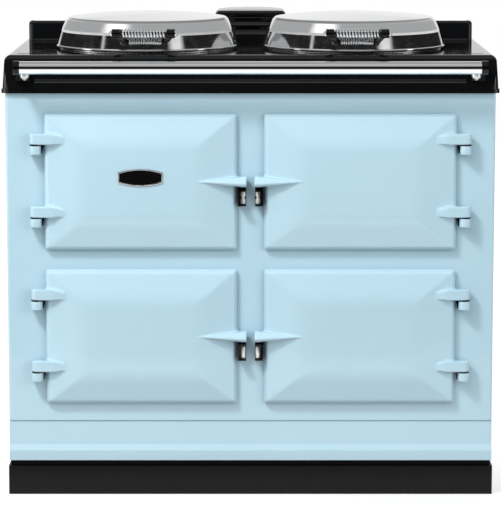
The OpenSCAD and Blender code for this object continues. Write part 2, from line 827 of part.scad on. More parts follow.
module top_plate() color("#111213")
    difference() {
        union() {
            difference() {
                union() {
                    apron_block();
                    translate([0, 0, plate_top]) linear_extrude(lip_h) rounded(top_w, top_d, plan_r + lip_step);
                    intersection() {
                        rod_x(-lip_x + rib_in, -lip_y + lip_step + rib_r - rib_out, plate_top + rib_rise,
                              top_w - 2 * rib_in, rib_r);
                        span_box([-lip_x, -lip_y, plate_top], [lip_x, -lip_y + 3 * rib_r, hob_h]);
                    }
                }
                cavity();
            }
            ledge();
            cove();
        }
        for (side = SIDES) {
            translate([side * hotplate_x, hotplate_cy, hob_under - 1])
                cylinder(h = cast_t + 2, r = hob_hole_r, $fn = 128);
            translate([side * (lip_x - disc_in_x), -lip_y + disc_in_y, hob_under - 1])
                cylinder(h = cast_t + 2, r = disc_r + seat_clear);
        }
        translate([0, 0, hob_h]) linear_extrude(ledge_h + 1) vent_plan(seat_clear);
        translate([0, duct_y, hob_under - 1]) cylinder(h = deck_h, r = duct_r + seat_clear);
    }

// Hollow under the top plate
module cavity() {
    in = lip_step + apron_draft + cast_t;
    intersection() {
        span_box([-lip_x + in, -lip_y + in, plate_top - 1], [lip_x - in, lip_y - in, hob_under]);
        translate([0, 0, plate_top - 1]) linear_extrude(apron_h) rounded(top_w - 2 * in, top_d - 2 * in, plan_r);
    }
    ledge_hollow();
}

// Opening through the hob under the hollow ledge, all round the vent housing's well
module ledge_hollow()
    difference() {
        translate([0, 0, hob_under - 1]) linear_extrude(cast_t + 2) ledge_plan(ledge_t);
        translate([0, 0, hob_under - 2]) linear_extrude(cast_t + 4) vent_plan(cast_t + seat_clear);
    }

module hob_discs() color("#1b1c1d")
    for (side = SIDES)
        translate([side * (lip_x - disc_in_x), -lip_y + disc_in_y, hob_under])
            cylinder(h = cast_t + 0.4, r = disc_r);

module vent_housing() color("#121314") {
    cap_h = vent_h / 6;
    // Lower edge and height of each louvre groove, as shares of the housing's height
    grooves = [[0.35, 0.12], [0.62, 0.11], [0.77, 0.063]];
    difference() {
        translate([0, 0, hob_h]) linear_extrude(vent_h) vent_plan();
        for (groove = grooves) {
            groove_h = groove[1] * vent_h;
            translate([0, 0, hob_h + groove[0] * vent_h]) difference() {
                linear_extrude(groove_h) vent_plan(1);
                translate([0, 0, -1]) linear_extrude(groove_h + 2) vent_plan(-louvre_d);
            }
        }
        translate([0, 0, hob_h - 1]) linear_extrude(vent_h - cap_h / 2) vent_plan(-vent_wall + vent_corner_r / 2);
    }
}

// Oven bays that the duct's stubs reach: the lower left, and both on the right
STUBS = [[-1, 0], [1, 0], [1, 1]];

function stub_z(row) = bay_z[row] + oven_h / 4 + 2 * stub_r;

module vent_duct() color("#8f9294") {
    stub_l = bay_x - oven_w / 2 - oven_wall;
    difference() {
        union() {
            translate([0, duct_y, duct_bottom]) cylinder(h = duct_top - duct_bottom, r = duct_r);
            for (stub = STUBS)
                rod_x(stub[0] > 0 ? 0 : -stub_l, duct_y, stub_z(stub[1]), stub_l, stub_r);
        }
        translate([0, duct_y, duct_bottom + duct_wall])
            cylinder(h = duct_top - duct_bottom, r = duct_r - duct_wall);
        for (stub = STUBS)
            rod_x(stub[0] > 0 ? 0 : -stub_l - 1, duct_y, stub_z(stub[1]), stub_l + 1, stub_r - duct_wall);
    }
}

// ---- Hotplates ----

module hotplate() {
    bevel = 2;
    rotate_extrude($fn = 128)
        polygon([[0, 0], [hotplate_r, 0], [hotplate_r, hotplate_t - bevel],
                 [hotplate_r - bevel, hotplate_t], [0, hotplate_t]]);
}

module hotplate_left() color("#4a4a4a") translate([-hotplate_x, hotplate_cy, hotplate_bottom]) hotplate();
module hotplate_right() color("#4a4a4a") translate([hotplate_x, hotplate_cy, hotplate_bottom]) hotplate();

module hotplate_rings() color("silver")
    for (side = SIDES)
        translate([side * hotplate_x, hotplate_cy, hob_h]) difference() {
            cylinder(h = trim_h, r = trim_outer_r, $fn = 128);
            translate([0, 0, -1]) cylinder(h = trim_h + 2, r = trim_inner_r, $fn = 128);
        }

module hotplate_supports() color("#55575a")
    for (side = SIDES)
        translate([side * hotplate_x, hotplate_cy, oven_roof]) difference() {
            cylinder(h = hotplate_bottom - oven_roof, r = support_outer_r, $fn = 128);
            translate([0, 0, -1])
                cylinder(h = hotplate_bottom - oven_roof + 2, r = support_outer_r - support_t, $fn = 128);
        }

// Two ring elements under each hotplate, and a U-shaped one on the floor of each oven's underside
module heating_elements() color("#6b6661") {
    for (side = SIDES, ring_r = [hotplate_r * 0.42, hotplate_r * 0.72])
        translate([side * hotplate_x, hotplate_cy, hotplate_bottom - element_r])
            rotate_extrude($fn = 96) translate([ring_r, 0]) circle(element_r);
    for (stub = STUBS)
        translate([stub[0] * bay_x, plate_back + element_in, bay_z[stub[1]] - oven_h / 2 - oven_wall - element_r])
            oven_element();
}

module oven_element() {
    leg_r = oven_w / 4;
    leg_l = oven_d - leg_r - 2 * element_in;
    for (side = SIDES) rod_y(side * leg_r, leg_r, 0, leg_l, element_r);
    translate([0, leg_r, 0]) rotate([0, 0, 180]) rotate_extrude(angle = 180)
        translate([leg_r, 0]) circle(element_r);
}

// ---- Ovens ----

// Open-fronted oven box in the bay at [0, 0], with runners for a shelf on each side
module oven() {
    outer_w = oven_w + 2 * oven_wall;
    outer_h = oven_h + 2 * oven_wall;
    upright(plate_back + oven_d, oven_wall) square([outer_w, outer_h], center = true);
    upright(plate_back, oven_d) difference() {
        square([outer_w, outer_h], center = true);
        rounded(oven_w, oven_h, aperture_r);
    }
    for (side = SIDES, i = [0 : runner_count - 1])
        translate([side * (oven_w - runner_out) / 2, plate_back + oven_d / 2, runner_z(i) - runner_t / 2])
            cube([runner_out, oven_d * 0.9, runner_t], center = true);
}

// Top of a runner, measured from the middle of the oven
function runner_z(i) = -oven_h / 2 + runner_rise + i * runner_pitch;

module vented_oven(side, row)
    difference() {
        translate([side * bay_x, 0, bay_z[row]]) oven();
        translate([side * bay_x - side * oven_w / 2, duct_y, stub_z(row)]) rotate([0, -90 * side, 0])
            translate([0, 0, -1]) cylinder(h = oven_wall + 2, r = stub_r - duct_wall);
    }

module roasting_oven() color("#3a3a3c") vented_oven(1, 1);
module baking_oven() color("#3a3a3c") vented_oven(1, 0);
module simmering_oven() color("#3a3a3c") vented_oven(-1, 0);

// Wire shelf that lies on the runners: a frame of thick wire with thinner wires across
module shelf() {
    w = oven_w - 2 * shelf_clear;
    x = w / 2 - shelf_frame_r;
    y0 = plate_back + oven_d * 0.12;
    y1 = plate_back + oven_d * 0.94;
    z = runner_z(shelf_level) + shelf_frame_r;
    for (side = SIDES) {
        rod_y(side * x, y0, z, y1 - y0, shelf_frame_r);
        for (y = [y0, y1]) translate([side * x, y, z]) sphere(shelf_frame_r);
    }
    for (y = [y0, y1]) rod_x(-x, y, z, 2 * x, shelf_frame_r);
    for (i = [1 : shelf_wire_count])
        rod_y(-x + 2 * x * i / (shelf_wire_count + 1), y0, z, y1 - y0, shelf_wire_r);
}

module oven_shelves() color("silver")
    for (stub = STUBS) translate([stub[0] * bay_x, 0, bay_z[stub[1]]]) shelf();

// Loose-fill insulation between the ovens and the casing
module insulation() color("#b9a98a") {
    side_in = panel_flange_w + 3;
    top_in = 42;
    back_t = 30;
    back = oven_back + back_t;
    outer_w = oven_w + 2 * oven_wall;
    outer_h = oven_h + 2 * oven_wall;
    element_room = 2 * element_r;
    difference() {
        span_box([-body_x + side_in, plate_back, base_top], [body_x - side_in, back, hob_under - top_in]);
        for (side = SIDES, row = ROWS)
            translate([side * bay_x, 0, bay_z[row] - element_room / 2])
                upright(plate_back - 1, oven_d + oven_wall + seat_clear + 1)
                    square([outer_w + 2 * seat_clear, outer_h + 2 * seat_clear + element_room], center = true);
        for (side = SIDES)
            translate([side * hotplate_x, hotplate_cy, oven_roof - 1])
                cylinder(h = hob_h, r = support_outer_r + seat_clear, $fn = 128);
        translate([0, duct_y, duct_bottom - seat_clear]) cylinder(h = hob_h, r = duct_r + seat_clear);
        for (stub = STUBS)
            rod_x(stub[0] > 0 ? 0 : -bay_x, duct_y, stub_z(stub[1]), bay_x, stub_r + seat_clear);
    }
}

// ---- Controls behind the top left door ----

module control_box() color("#2a2b2d")
    translate([-bay_x, 0, bay_z[1]]) {
        outer_w = oven_w + 2 * oven_wall;
        outer_h = oven_h + 2 * oven_wall;
        upright(plate_back + oven_d, oven_wall) square([outer_w, outer_h], center = true);
        upright(plate_back, oven_d) difference() {
            square([outer_w, outer_h], center = true);
            rounded(oven_w, oven_h, aperture_r);
        }
    }

module control_fascia() color("#17181a")
    difference() {
        translate([-bay_x, 0, bay_z[1]])
            upright(fascia_y, fascia_t) rounded(oven_w - 2 * seat_clear, oven_h - 2 * seat_clear, aperture_r);
        for (x = knob_x) rod_y(x, fascia_y - 1, bay_z[1], fascia_t + 2, shaft_r + run_clear);
    }

module control_switches() color("#cfcfca")
    for (x = knob_x) difference() {
        translate([x, 0, bay_z[1]])
            upright(fascia_y + fascia_t, switch_d) rounded(switch_w, switch_w, 4);
        rod_y(x, fascia_y, bay_z[1], switch_d, shaft_r + run_clear);
    }

// Knob with its shaft, on the axis of the fascia's hole number i
module knob(i) {
    skirt_t = 4;
    notch_w = 2;
    gap = 1;
    difference() {
        union() {
            rod_y(knob_x[i], fascia_y - gap - skirt_t, bay_z[1], skirt_t, knob_skirt_r);
            rod_y(knob_x[i], fascia_y - gap - knob_l, bay_z[1], knob_l, knob_r);
            rod_y(knob_x[i], fascia_y - gap - eps, bay_z[1], fascia_t + switch_d * 0.7, shaft_r);
        }
        translate([knob_x[i] - notch_w / 2, fascia_y - gap - knob_l - 1, bay_z[1]])
            cube([notch_w, 2, knob_r + 1]);
    }
}

module knob_left() color("#1a1a1a") knob(0);
module knob_middle() color("#1a1a1a") knob(1);
module knob_right() color("#1a1a1a") knob(2);

// ---- Handrail ----

module handrail() color("#d8dadb")
    difference() {
        rod_x(-rail_x, rail_y, rail_z, 2 * rail_x, rail_r);
        rod_x(-rail_x - 1, rail_y, rail_z, 2 * rail_x + 2, rail_r - rail_wall);
    }

// Right end bracket: a spigot in the rail, a round block and an arm back to a foot on the apron
module rail_bracket() {
    arm_t = rail_block_t / 2;
    spigot_l = 20;
    foot_l = 20;
    block_r = rail_r + 1;
    foot_low = [boss_x - boss_r, rail_y + rail_out, boss_z - boss_r];
    difference() {
        union() {
            rod_x(rail_x - spigot_l, rail_y, rail_z, spigot_l + eps, rail_r - rail_wall - run_clear);
            rod_x(rail_x, rail_y, rail_z, rail_block_t, block_r);
            span_box([rail_x + arm_t, rail_y, rail_z - block_r], [rail_x + rail_block_t, -lip_y + foot_l, rail_z + 4]);
            span_box([boss_x - boss_r - 1, foot_face(), boss_z - boss_r - 1],
                     [rail_x + rail_block_t, -lip_y + foot_l, boss_z + boss_r + 1]);
        }
        apron_block(seat_clear);
    }
}

// Front of the bracket's foot, a little in front of the drafted apron
function foot_face() = -lip_y + lip_step - rail_foot_t;

module rail_brackets() color("#141414") for (side = SIDES) on_side(side) rail_bracket();

module rail_bosses() color("#dcdedf")
    for (side = SIDES) difference() {
        rod_y(side * boss_x, foot_face() - boss_l, boss_z, boss_l, boss_r);
        rod_y(side * boss_x, foot_face() - boss_l - 1, boss_z, 3, boss_r / 3);
    }

// ---- Door hinges and catches ----

function lug_z(row, i) = door_bottom[row] + lug_rises[i];
function bracket_top(row, i) = lug_z(row, i) - lug_h / 2 - lug_gap;

module hinge_brackets() color("#b8d9e9")
    for (side = SIDES, row = ROWS, i = [0, 1])
        on_side(side) difference() {
            translate([0, 0, bracket_top(row, i) - bracket_h]) {
                translate([hinge_x, hinge_y, 0]) cylinder(h = bracket_h, r = barrel_r);
                span_box([hinge_x - barrel_r, hinge_y, 0], [hinge_x + barrel_r, plate_front, bracket_h]);
            }
            translate([hinge_x, hinge_y, bracket_top(row, i) - bracket_h + pin_cover])
                cylinder(h = bracket_h, r = pin_r + run_clear);
        }

module hinge_pins() color("silver") {
    for (side = SIDES, row = ROWS, i = [0, 1])
        translate([side * hinge_x, hinge_y, bracket_top(row, i) - bracket_h + pin_cover])
            cylinder(h = bracket_h - pin_cover + lug_gap + lug_h - pin_cover - seat_clear, r = pin_r);
    for (side = SIDES)
        rod_x(side * hotplate_x - lid_rod_half(), lid_pin_y, lid_pin_z, 2 * lid_rod_half(), lid_pin_r);
}

function arm_bottom(row) = door_bottom[row] + arm_rise;
function catch_top(row) = arm_bottom(row) - arm_gap;

module catch_brackets() color("#101418")
    for (side = SIDES, row = ROWS)
        on_side(side) translate([0, plate_front, catch_top(row)]) {
            span_box([catch_in_x, -catch_wall, -catch_h], [catch_out_x, 0, 0]);
            span_box([catch_out_x - catch_wall, -catch_d, -catch_h], [catch_out_x, 0, 0]);
            span_box([catch_in_x, -catch_d, -catch_top_t], [catch_out_x, 0, 0]);
            span_box([catch_in_x, -catch_d, -catch_h], [catch_out_x, 0, -catch_h + catch_foot_t]);
            translate([spigot_x, spigot_y - plate_front, -catch_h + catch_foot_t / 2])
                cylinder(h = catch_h - catch_foot_t, r = spigot_r);
        }

module roller(side, row, grooved) {
    z0 = catch_top(row) - catch_h + catch_foot_t + side_clear;
    translate([side * spigot_x, spigot_y, z0]) difference() {
        cylinder(h = roller_h, r = roller_r);
        translate([0, 0, -1]) cylinder(h = roller_h + 2, r = spigot_r + run_clear);
        if (grooved)
            translate([0, 0, (roller_h - roller_groove_h) / 2]) difference() {
                cylinder(h = roller_groove_h, r = roller_r + 1);
                translate([0, 0, -1]) cylinder(h = roller_groove_h + 2, r = roller_r - roller_groove_d);
            }
    }
}

module roller_top_left() color("#dcdedf") roller(-1, 1, true);
module roller_top_right() color("#dcdedf") roller(1, 1, true);
module roller_bottom_left() color("#dcdedf") roller(-1, 0, false);
module roller_bottom_right() color("#dcdedf") roller(1, 0, false);

// ---- Doors ----

// Flat outline of a door, set back by in_x and in_z, and thick in Y
module door_layer(y0, thick, in_x, in_z)
    translate([bay_x, 0, door_h / 2])
        upright(y0, thick) rounded(door_w - 2 * in_x, door_h - 2 * in_z, door_corner_r, $fn = form_fn);

// Hinge lug on the right side of a door: a barrel on the hinge axis and a taper into the slope
module lug(z) {
    inner_x = hinge_x - lug_reach;
    translate([hinge_x, hinge_y, z - lug_h / 2]) cylinder(h = lug_h, r = barrel_r);
    hull() {
        span_box([hinge_x - 1, hinge_y - barrel_r, z - lug_h / 2], [hinge_x, hinge_y + barrel_r, z + lug_h / 2]);
        span_box([inner_x, shoulder_front - door_slope_t / 2, z - lug_tip_h / 2],
                 [inner_x + 1, rim_front, z + lug_tip_h / 2]);
    }
}

// Catch arm on the inner side of a door: a bevelled end that tapers to a point on the field
module catch_arm() {
    low = arm_rise;
    front = field_front - arm_proud;
    back = rim_front;
    hull() {
        along_x(arm_end_x, 8) polygon([
            [back, low], [front + 6, low], [front, low + arm_h * 0.3],
            [front + 7, low + arm_h * 0.85], [front + 12, low + arm_h], [back, low + arm_h]]);
        span_box([arm_end_x + arm_len, field_front - eps, low + arm_h * 0.45],
                 [arm_end_x + arm_len + 1, rim_front, low + arm_h * 0.55]);
    }
}

// Right-hand door with its lower edge at z = 0
module door() {
    difference() {
        union() {
            hull() {
                door_layer(rim_front, door_rim_t, 0, 0);
                door_layer(shoulder_front, 1, door_shoulder_in, door_shoulder_in);
                door_layer(field_front, 1, field_in_x, field_in_z);
            }
            for (rise = lug_rises) lug(rise);
            catch_arm();
        }
        for (rise = lug_rises)
            translate([hinge_x, hinge_y, rise - lug_h / 2 - 1])
                cylinder(h = lug_h + 1 - pin_cover, r = pin_r + run_clear);
    }
}

module placed_door(side, row) on_side(side) translate([0, 0, door_bottom[row]]) door();

module door_top_left() color("#b8d9e9") placed_door(-1, 1);
module door_top_right() color("#b8d9e9") placed_door(1, 1);
module door_bottom_left() color("#b8d9e9") placed_door(-1, 0);
module door_bottom_right() color("#b8d9e9") placed_door(1, 0);

// Insulated plug behind a door, with a raised panel on its inner face
module door_liner(side, row) {
    w = oven_w - 2 * liner_clear;
    h = oven_h - 2 * liner_clear;
    step = 4;
    translate([side * bay_x, 0, bay_z[row]]) {
        upright(door_back, liner_d - step) rounded(w, h, liner_corner_r);
        upright(door_back + liner_d - step - eps, step + eps)
            rounded(w - 8 * step, h - 8 * step, liner_corner_r);
    }
}

module liner_top_left() color("#9da0a3") door_liner(-1, 1);
module liner_top_right() color("#9da0a3") door_liner(1, 1);
module liner_bottom_left() color("#9da0a3") door_liner(-1, 0);
module liner_bottom_right() color("#9da0a3") door_liner(1, 0);

// Lozenge with straight ends and arched long sides
module badge_shape(l, h, end_h) {
    rise = (h - end_h) / 2;
    arch_r = (l * l / 4 + rise * rise) / (2 * rise);
    intersection() {
        square([l, h + 2], center = true);
        translate([0, h / 2 - arch_r]) circle(arch_r, $fn = 180);
        translate([0, arch_r - h / 2]) circle(arch_r, $fn = 180);
    }
}

module badge_plate() color("#0c0c0d")
    translate([-bay_x, 0, door_bottom[1] + badge_rise])
        upright(field_front - badge_t, badge_t) badge_shape(badge_l, badge_h, badge_end_h);

module badge_rim() color("#dcdedf")
    translate([-bay_x, 0, door_bottom[1] + badge_rise])
        upright(field_front - badge_rim_t, badge_rim_t) difference() {
            badge_shape(badge_l + 2 * badge_rim_w, badge_h + 2 * badge_rim_w, badge_end_h + 2 * badge_rim_w);
            badge_shape(badge_l, badge_h, badge_end_h);
        }

// ---- Lids ----

// Half section of a lid at a distance inside its outer face, from the foot up to the middle
function lid_section(inset) = let (
        dome_r = lid_dome_r - inset,
        rise = lid_h - lid_dome_h,
        ball_r = (dome_r * dome_r + rise * rise) / (2 * rise),
        edge_a = asin(dome_r / ball_r),
        steps = 10
    ) concat(
        [[0, lid_lift - eps], [lid_r - inset, lid_lift - eps], [lid_crease_r - inset, lid_crease_h],
         [lid_shoulder_r - inset, lid_shoulder_h - inset * 0.3],
         [lid_shoulder_r - inset - 1.5, (lid_shoulder_h + lid_dome_h) / 2 + 0.6 - inset * 0.7]],
        [for (i = [0 : steps]) let (a = edge_a * (1 - i / steps))
            [ball_r * sin(a), lid_h - inset - ball_r * (1 - cos(a))]]
    );

// Radius of the lid's outer wall at a height between its foot and its crease
function lid_wall_r(h) = lid_r - (lid_r - lid_crease_r) * (h - lid_lift) / (lid_crease_h - lid_lift);

module lid_block(inset = 0) rotate_extrude($fn = 128) polygon(lid_section(inset));

module lid_place(side) translate([side * hotplate_x, hotplate_cy, hob_h]) children();

module lid_shell() {
    rotate_extrude($fn = 128) difference() {
        polygon(lid_section(0));
        polygon(lid_section(lid_wall));
        translate([-1, -1]) square([lid_r, lid_lift + 1]);
    }
    rotate_extrude($fn = 128) translate([lid_r - lid_bead_r / 2, lid_lift + lid_bead_r]) circle(lid_bead_r);
}

module lid_left_shell() color("#d8dadb") lid_place(-1) lid_shell();
module lid_right_shell() color("#d8dadb") lid_place(1) lid_shell();

module lid_liner() {
    top_r = lid_wall_r(lid_liner_top) - lid_wall - seat_clear;
    bevel = 3;
    rotate_extrude($fn = 128)
        polygon([[0, liner_lift], [top_r - bevel, liner_lift], [top_r, liner_lift + bevel],
                 [top_r, lid_liner_top], [0, lid_liner_top]]);
}

module lid_left_liner() color("#a9abac") lid_place(-1) lid_liner();
module lid_right_liner() color("#a9abac") lid_place(1) lid_liner();

// Centre line of the handle's coil: turns that swell a little towards the middle
function coil_lead() = 2 * coil_wire_r;
function coil_x(t) = (coil_l - 2 * coil_lead()) * (t - 0.5);
function coil_radius(t) = coil_end_r + (coil_mid_r - coil_end_r) * sin(180 * t);
function coil_point(t) = [coil_x(t), coil_radius(t) * cos(360 * coil_turns * t), coil_radius(t) * sin(360 * coil_turns * t)];

rings_per_turn = 8;
wire_sides = 6;
coil_ring_count = coil_turns * rings_per_turn;

// The coil's path with a straight lead at each end, square to the lug it meets
function coil_path() = concat(
    [coil_point(0) - [coil_lead(), 0, 0]],
    [for (i = [0 : coil_ring_count]) coil_point(i / coil_ring_count)],
    [coil_point(1) + [coil_lead(), 0, 0]]
);

function unit(v) = v / norm(v);

function tangent(path, i) =
    i == 0 ? unit(path[1] - path[0])
    : i == len(path) - 1 ? unit(path[i] - path[i - 1])
    : unit(unit(path[i + 1] - path[i]) + unit(path[i] - path[i - 1]));

// Ring of points round a path's point, square to the path and turned with the coil
function wire_ring(path, i) = let (
        t = tangent(path, i),
        out = unit([0, path[i][1], path[i][2]]),
        n = unit(out - (out * t) * t),
        b = cross(t, n)
    ) [for (k = [0 : wire_sides - 1]) let (a = 360 * k / wire_sides)
        path[i] + coil_wire_r * (cos(a) * n + sin(a) * b)];

module coil() {
    path = coil_path();
    last = len(path) - 1;
    points = [for (i = [0 : last]) each wire_ring(path, i)];
    walls = [for (i = [0 : last - 1], k = [0 : wire_sides - 1]) let (
            m = (k + 1) % wire_sides,
            p = i * wire_sides,
            q = p + wire_sides
        ) each [[p + k, q + k, q + m], [p + k, q + m, p + m]]];
    caps = [for (k = [1 : wire_sides - 2]) each [
        [0, k, k + 1],
        [last * wire_sides, last * wire_sides + k + 1, last * wire_sides + k]]];
    polyhedron(points = points, faces = concat(walls, caps));
}

// Least gap between one turn of the wire and the next, measured between points of the path
function coil_gap() = let (path = coil_path(), away = rings_per_turn - 2)
    min([for (i = [0 : len(path) - 1 - away], j = [i + away : len(path) - 1]) norm(path[i] - path[j])])
    - 2 * coil_wire_r;

echo(coil_least_gap_mm = coil_gap());

module handle_place(side) translate([side * hotplate_x, handle_y, handle_z]) children();

module lid_handle() {
    coil();
    for (side = SIDES) on_side(side)
        translate([handle_lug_x + handle_lug_t, 0, 0]) rotate([0, 90, 0]) {
            cylinder(h = handle_cap_l / 2, r = handle_cap_r);
            intersection() {
                sphere(handle_cap_r);
                cylinder(h = handle_cap_l, r = handle_cap_r);
            }
        }
}

module lid_left_handle() color("#d8dadb") handle_place(-1) lid_handle();
module lid_right_handle() color("#d8dadb") handle_place(1) lid_handle();

// Black castings of a lid: two handle lugs joined by a rod, and two hinge arms behind
module lid_brackets() {
    difference() {
        union() {
            handle_lugs();
            hinge_arms();
        }
        lid_block(-seat_clear);
    }
}

module handle_lugs() {
    y = handle_y - hotplate_cy;
    for (side = SIDES) on_side(side) {
        rod_x(handle_lug_x, y, handle_h, handle_lug_t, handle_lug_r);
        span_box([handle_lug_x, y, handle_h - handle_lug_r * 0.8],
                 [handle_lug_x + handle_lug_t, -lid_shoulder_r * 0.9, handle_h + handle_lug_r * 0.8]);
    }
    rod_x(-handle_lug_x - eps, y, handle_h, 2 * handle_lug_x + 2 * eps, handle_rod_r);
}

module hinge_arms() {
    y = lid_pin_y - hotplate_cy;
    arm_top = lid_arm_bottom + lid_arm_t;
    for (side = SIDES) on_side(side)
        translate([lid_arm_x, 0, 0]) difference() {
            union() {
                rod_x(-lid_arm_w / 2, y, lid_pin_h, lid_arm_w, lid_eye_r);
                span_box([-lid_arm_w / 2, 0.8 * lid_shoulder_r, lid_arm_bottom], [lid_arm_w / 2, y, arm_top]);
                span_box([-lid_arm_w / 2, y, lid_pin_h], [lid_arm_w / 2, y + lid_eye_r, lid_arm_bottom]);
                intersection() {
                    span_box([-lid_arm_w / 2, y, lid_arm_bottom - eps], [lid_arm_w / 2, y + lid_eye_r, arm_top]);
                    rod_x(-lid_arm_w / 2, y, lid_arm_bottom, lid_arm_w, lid_arm_t);
                }
            }
            rod_x(-lid_arm_w, y, lid_pin_h, 2 * lid_arm_w, lid_pin_r + run_clear);
        }
}

module lid_left_brackets() color("#141414") lid_place(-1) lid_brackets();
module lid_right_brackets() color("#141414") lid_place(1) lid_brackets();

function lid_rod_half() = lid_arm_x + lid_arm_w / 2 + side_clear + lid_ear_t + 2;

// Forks on the deck that hold the hinge rods, one round each arm's eye
module lid_hinge_blocks() color("#141414")
    for (lid = SIDES, side = SIDES)
        translate([lid * hotplate_x + side * lid_arm_x, lid_pin_y, hob_h]) difference() {
            union() {
                for (ear = SIDES) on_side(ear) translate([lid_arm_w / 2 + side_clear, 0, 0]) {
                    rod_x(0, 0, lid_pin_h, lid_ear_t, lid_eye_r);
                    span_box([0, -lid_eye_r, deck_h], [lid_ear_t, lid_eye_r, lid_pin_h]);
                }
                half = lid_arm_w / 2 + side_clear + lid_ear_t;
                span_box([-half, -lid_eye_r, deck_h], [half, lid_eye_r, deck_h + 4]);
            }
            rod_x(-lid_arm_w * 2, 0, lid_pin_h, lid_arm_w * 4, lid_pin_r + run_clear);
        }

// ---- The assembly ----

plinth();
levelling_feet();
base_frame();
lower_panel();
front_plate();
side_panel_left();
side_panel_right();
rear_panel();
panel_screws();
cable_gland();
top_plate();
hob_discs();
vent_housing();
vent_duct();
hotplate_left();
hotplate_right();
hotplate_rings();
hotplate_supports();
heating_elements();
roasting_oven();
baking_oven();
simmering_oven();
oven_shelves();
insulation();
control_box();
control_fascia();
control_switches();
knob_left();
knob_middle();
knob_right();
handrail();
rail_brackets();
rail_bosses();
door_seals();
hinge_brackets();
hinge_pins();
catch_brackets();
roller_top_left();
roller_top_right();
roller_bottom_left();
roller_bottom_right();
lid_hinge_blocks();
door_top_left();
door_top_right();
door_bottom_left();
door_bottom_right();
liner_top_left();
liner_top_right();
liner_bottom_left();
liner_bottom_right();
badge_plate();
badge_rim();
lid_left_shell();
lid_right_shell();
lid_left_liner();
lid_right_liner();
lid_left_handle();
lid_right_handle();
lid_left_brackets();
lid_right_brackets();
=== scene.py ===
"""Looks of a cast iron range cooker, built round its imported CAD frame.

Lengths are in metres in the frame's own axes: +X to the right of someone who faces the doors,
-Y out of the front, +Z up, with the origin on the floor under the middle of the plinth.
"""

import json
import math

import bmesh
import bpy
import numpy as np
from mathutils import Matrix, Vector


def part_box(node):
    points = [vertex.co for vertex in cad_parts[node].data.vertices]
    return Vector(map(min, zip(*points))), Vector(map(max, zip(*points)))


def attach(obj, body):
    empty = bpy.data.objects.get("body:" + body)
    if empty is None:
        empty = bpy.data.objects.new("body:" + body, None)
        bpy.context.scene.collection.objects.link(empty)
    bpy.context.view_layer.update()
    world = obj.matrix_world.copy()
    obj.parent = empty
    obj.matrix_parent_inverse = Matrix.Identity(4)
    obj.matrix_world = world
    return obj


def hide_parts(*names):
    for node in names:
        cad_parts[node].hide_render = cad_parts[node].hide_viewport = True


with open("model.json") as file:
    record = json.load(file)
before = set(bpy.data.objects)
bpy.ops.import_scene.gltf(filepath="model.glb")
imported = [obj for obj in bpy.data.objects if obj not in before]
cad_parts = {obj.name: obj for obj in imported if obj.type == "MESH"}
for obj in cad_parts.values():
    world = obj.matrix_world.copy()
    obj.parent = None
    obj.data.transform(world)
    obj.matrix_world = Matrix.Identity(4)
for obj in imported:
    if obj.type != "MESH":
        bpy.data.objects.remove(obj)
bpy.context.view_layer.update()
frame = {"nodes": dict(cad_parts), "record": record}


def placed(name, data):
    """A new object in the scene with this data."""
    made = bpy.data.objects.new(name, data)
    bpy.context.scene.collection.objects.link(made)
    return made


# ---- Camera ----

IMAGE_LONG_SIDE, FOCAL_PX = 506, 2507.0
SENSOR_MM = 36.0
CAMERA_DISTANCE = 5.0
CAMERA_ABOVE_HOB = 0.385
CAMERA_TILT = math.radians(7.62)
CAMERA_SHIFT_Y = -0.112
CLIP_NEAR, CLIP_FAR = 0.05, 60


def make_camera():
    """A long lens in front of the handrail, tilted down a little and shifted to take in the plinth."""
    lip_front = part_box("top_plate")[0].y
    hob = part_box("vent_housing")[0].z
    data = bpy.data.cameras.new("camera")
    data.sensor_width = SENSOR_MM
    data.lens = FOCAL_PX * SENSOR_MM / IMAGE_LONG_SIDE
    data.shift_y = CAMERA_SHIFT_Y
    data.clip_start = CLIP_NEAR
    data.clip_end = CLIP_FAR
    camera = placed("camera", data)
    camera.location = (0, lip_front - CAMERA_DISTANCE, hob + CAMERA_ABOVE_HOB)
    camera.rotation_euler = (math.pi / 2 - CAMERA_TILT, 0, 0)
    bpy.context.scene.camera = camera


# ---- Node helpers ----


def feed(tree, node, inputs):
    """Fills a node's inputs. A value that is another node's output is linked, and any other is set."""
    for name, value in inputs.items():
        if isinstance(value, bpy.types.NodeSocket):
            tree.links.new(value, node.inputs[name])
        else:
            node.inputs[name].default_value = value


def add(tree, kind, settings=None, inputs=None):
    """Adds a node with its settings and inputs."""
    node = tree.nodes.new(kind)
    for name, value in (settings or {}).items():
        setattr(node, name, value)
    feed(tree, node, inputs or {})
    return node


def maths(tree, operation, *values):
    """The result of a math node on numbers or outputs."""
    return add(tree, "ShaderNodeMath", {"operation": operation}, dict(enumerate(values))).outputs[0]


def vectors(tree, operation, *values):
    """The outputs, Vector and Value, of a vector math node."""
    return add(tree, "ShaderNodeVectorMath", {"operation": operation}, dict(enumerate(values))).outputs


def object_place(tree):
    return add(tree, "ShaderNodeTexCoord").outputs["Object"]


def new_material(name):
    made = bpy.data.materials.new(name)
    made.use_nodes = True
    tree = made.node_tree
    return made, tree, tree.nodes["Principled BSDF"]


def noise(tree, scale, detail=3.0, place=None, roughness=0.5):
    """A noise over the object's own coordinates, or over the place given."""
    inputs = {"Vector": place or object_place(tree), "Scale": scale, "Detail": detail,
              "Roughness": roughness}
    return add(tree, "ShaderNodeTexNoise", None, inputs).outputs["Fac"]


def spread(tree, value, low, high, from_low=0.3, from_high=0.7):
    """Maps a value from one range to another, and holds it at the ends."""
    inputs = {"Value": value, "From Min": from_low, "From Max": from_high, "To Min": low, "To Max": high}
    return add(tree, "ShaderNodeMapRange", None, inputs).outputs["Result"]


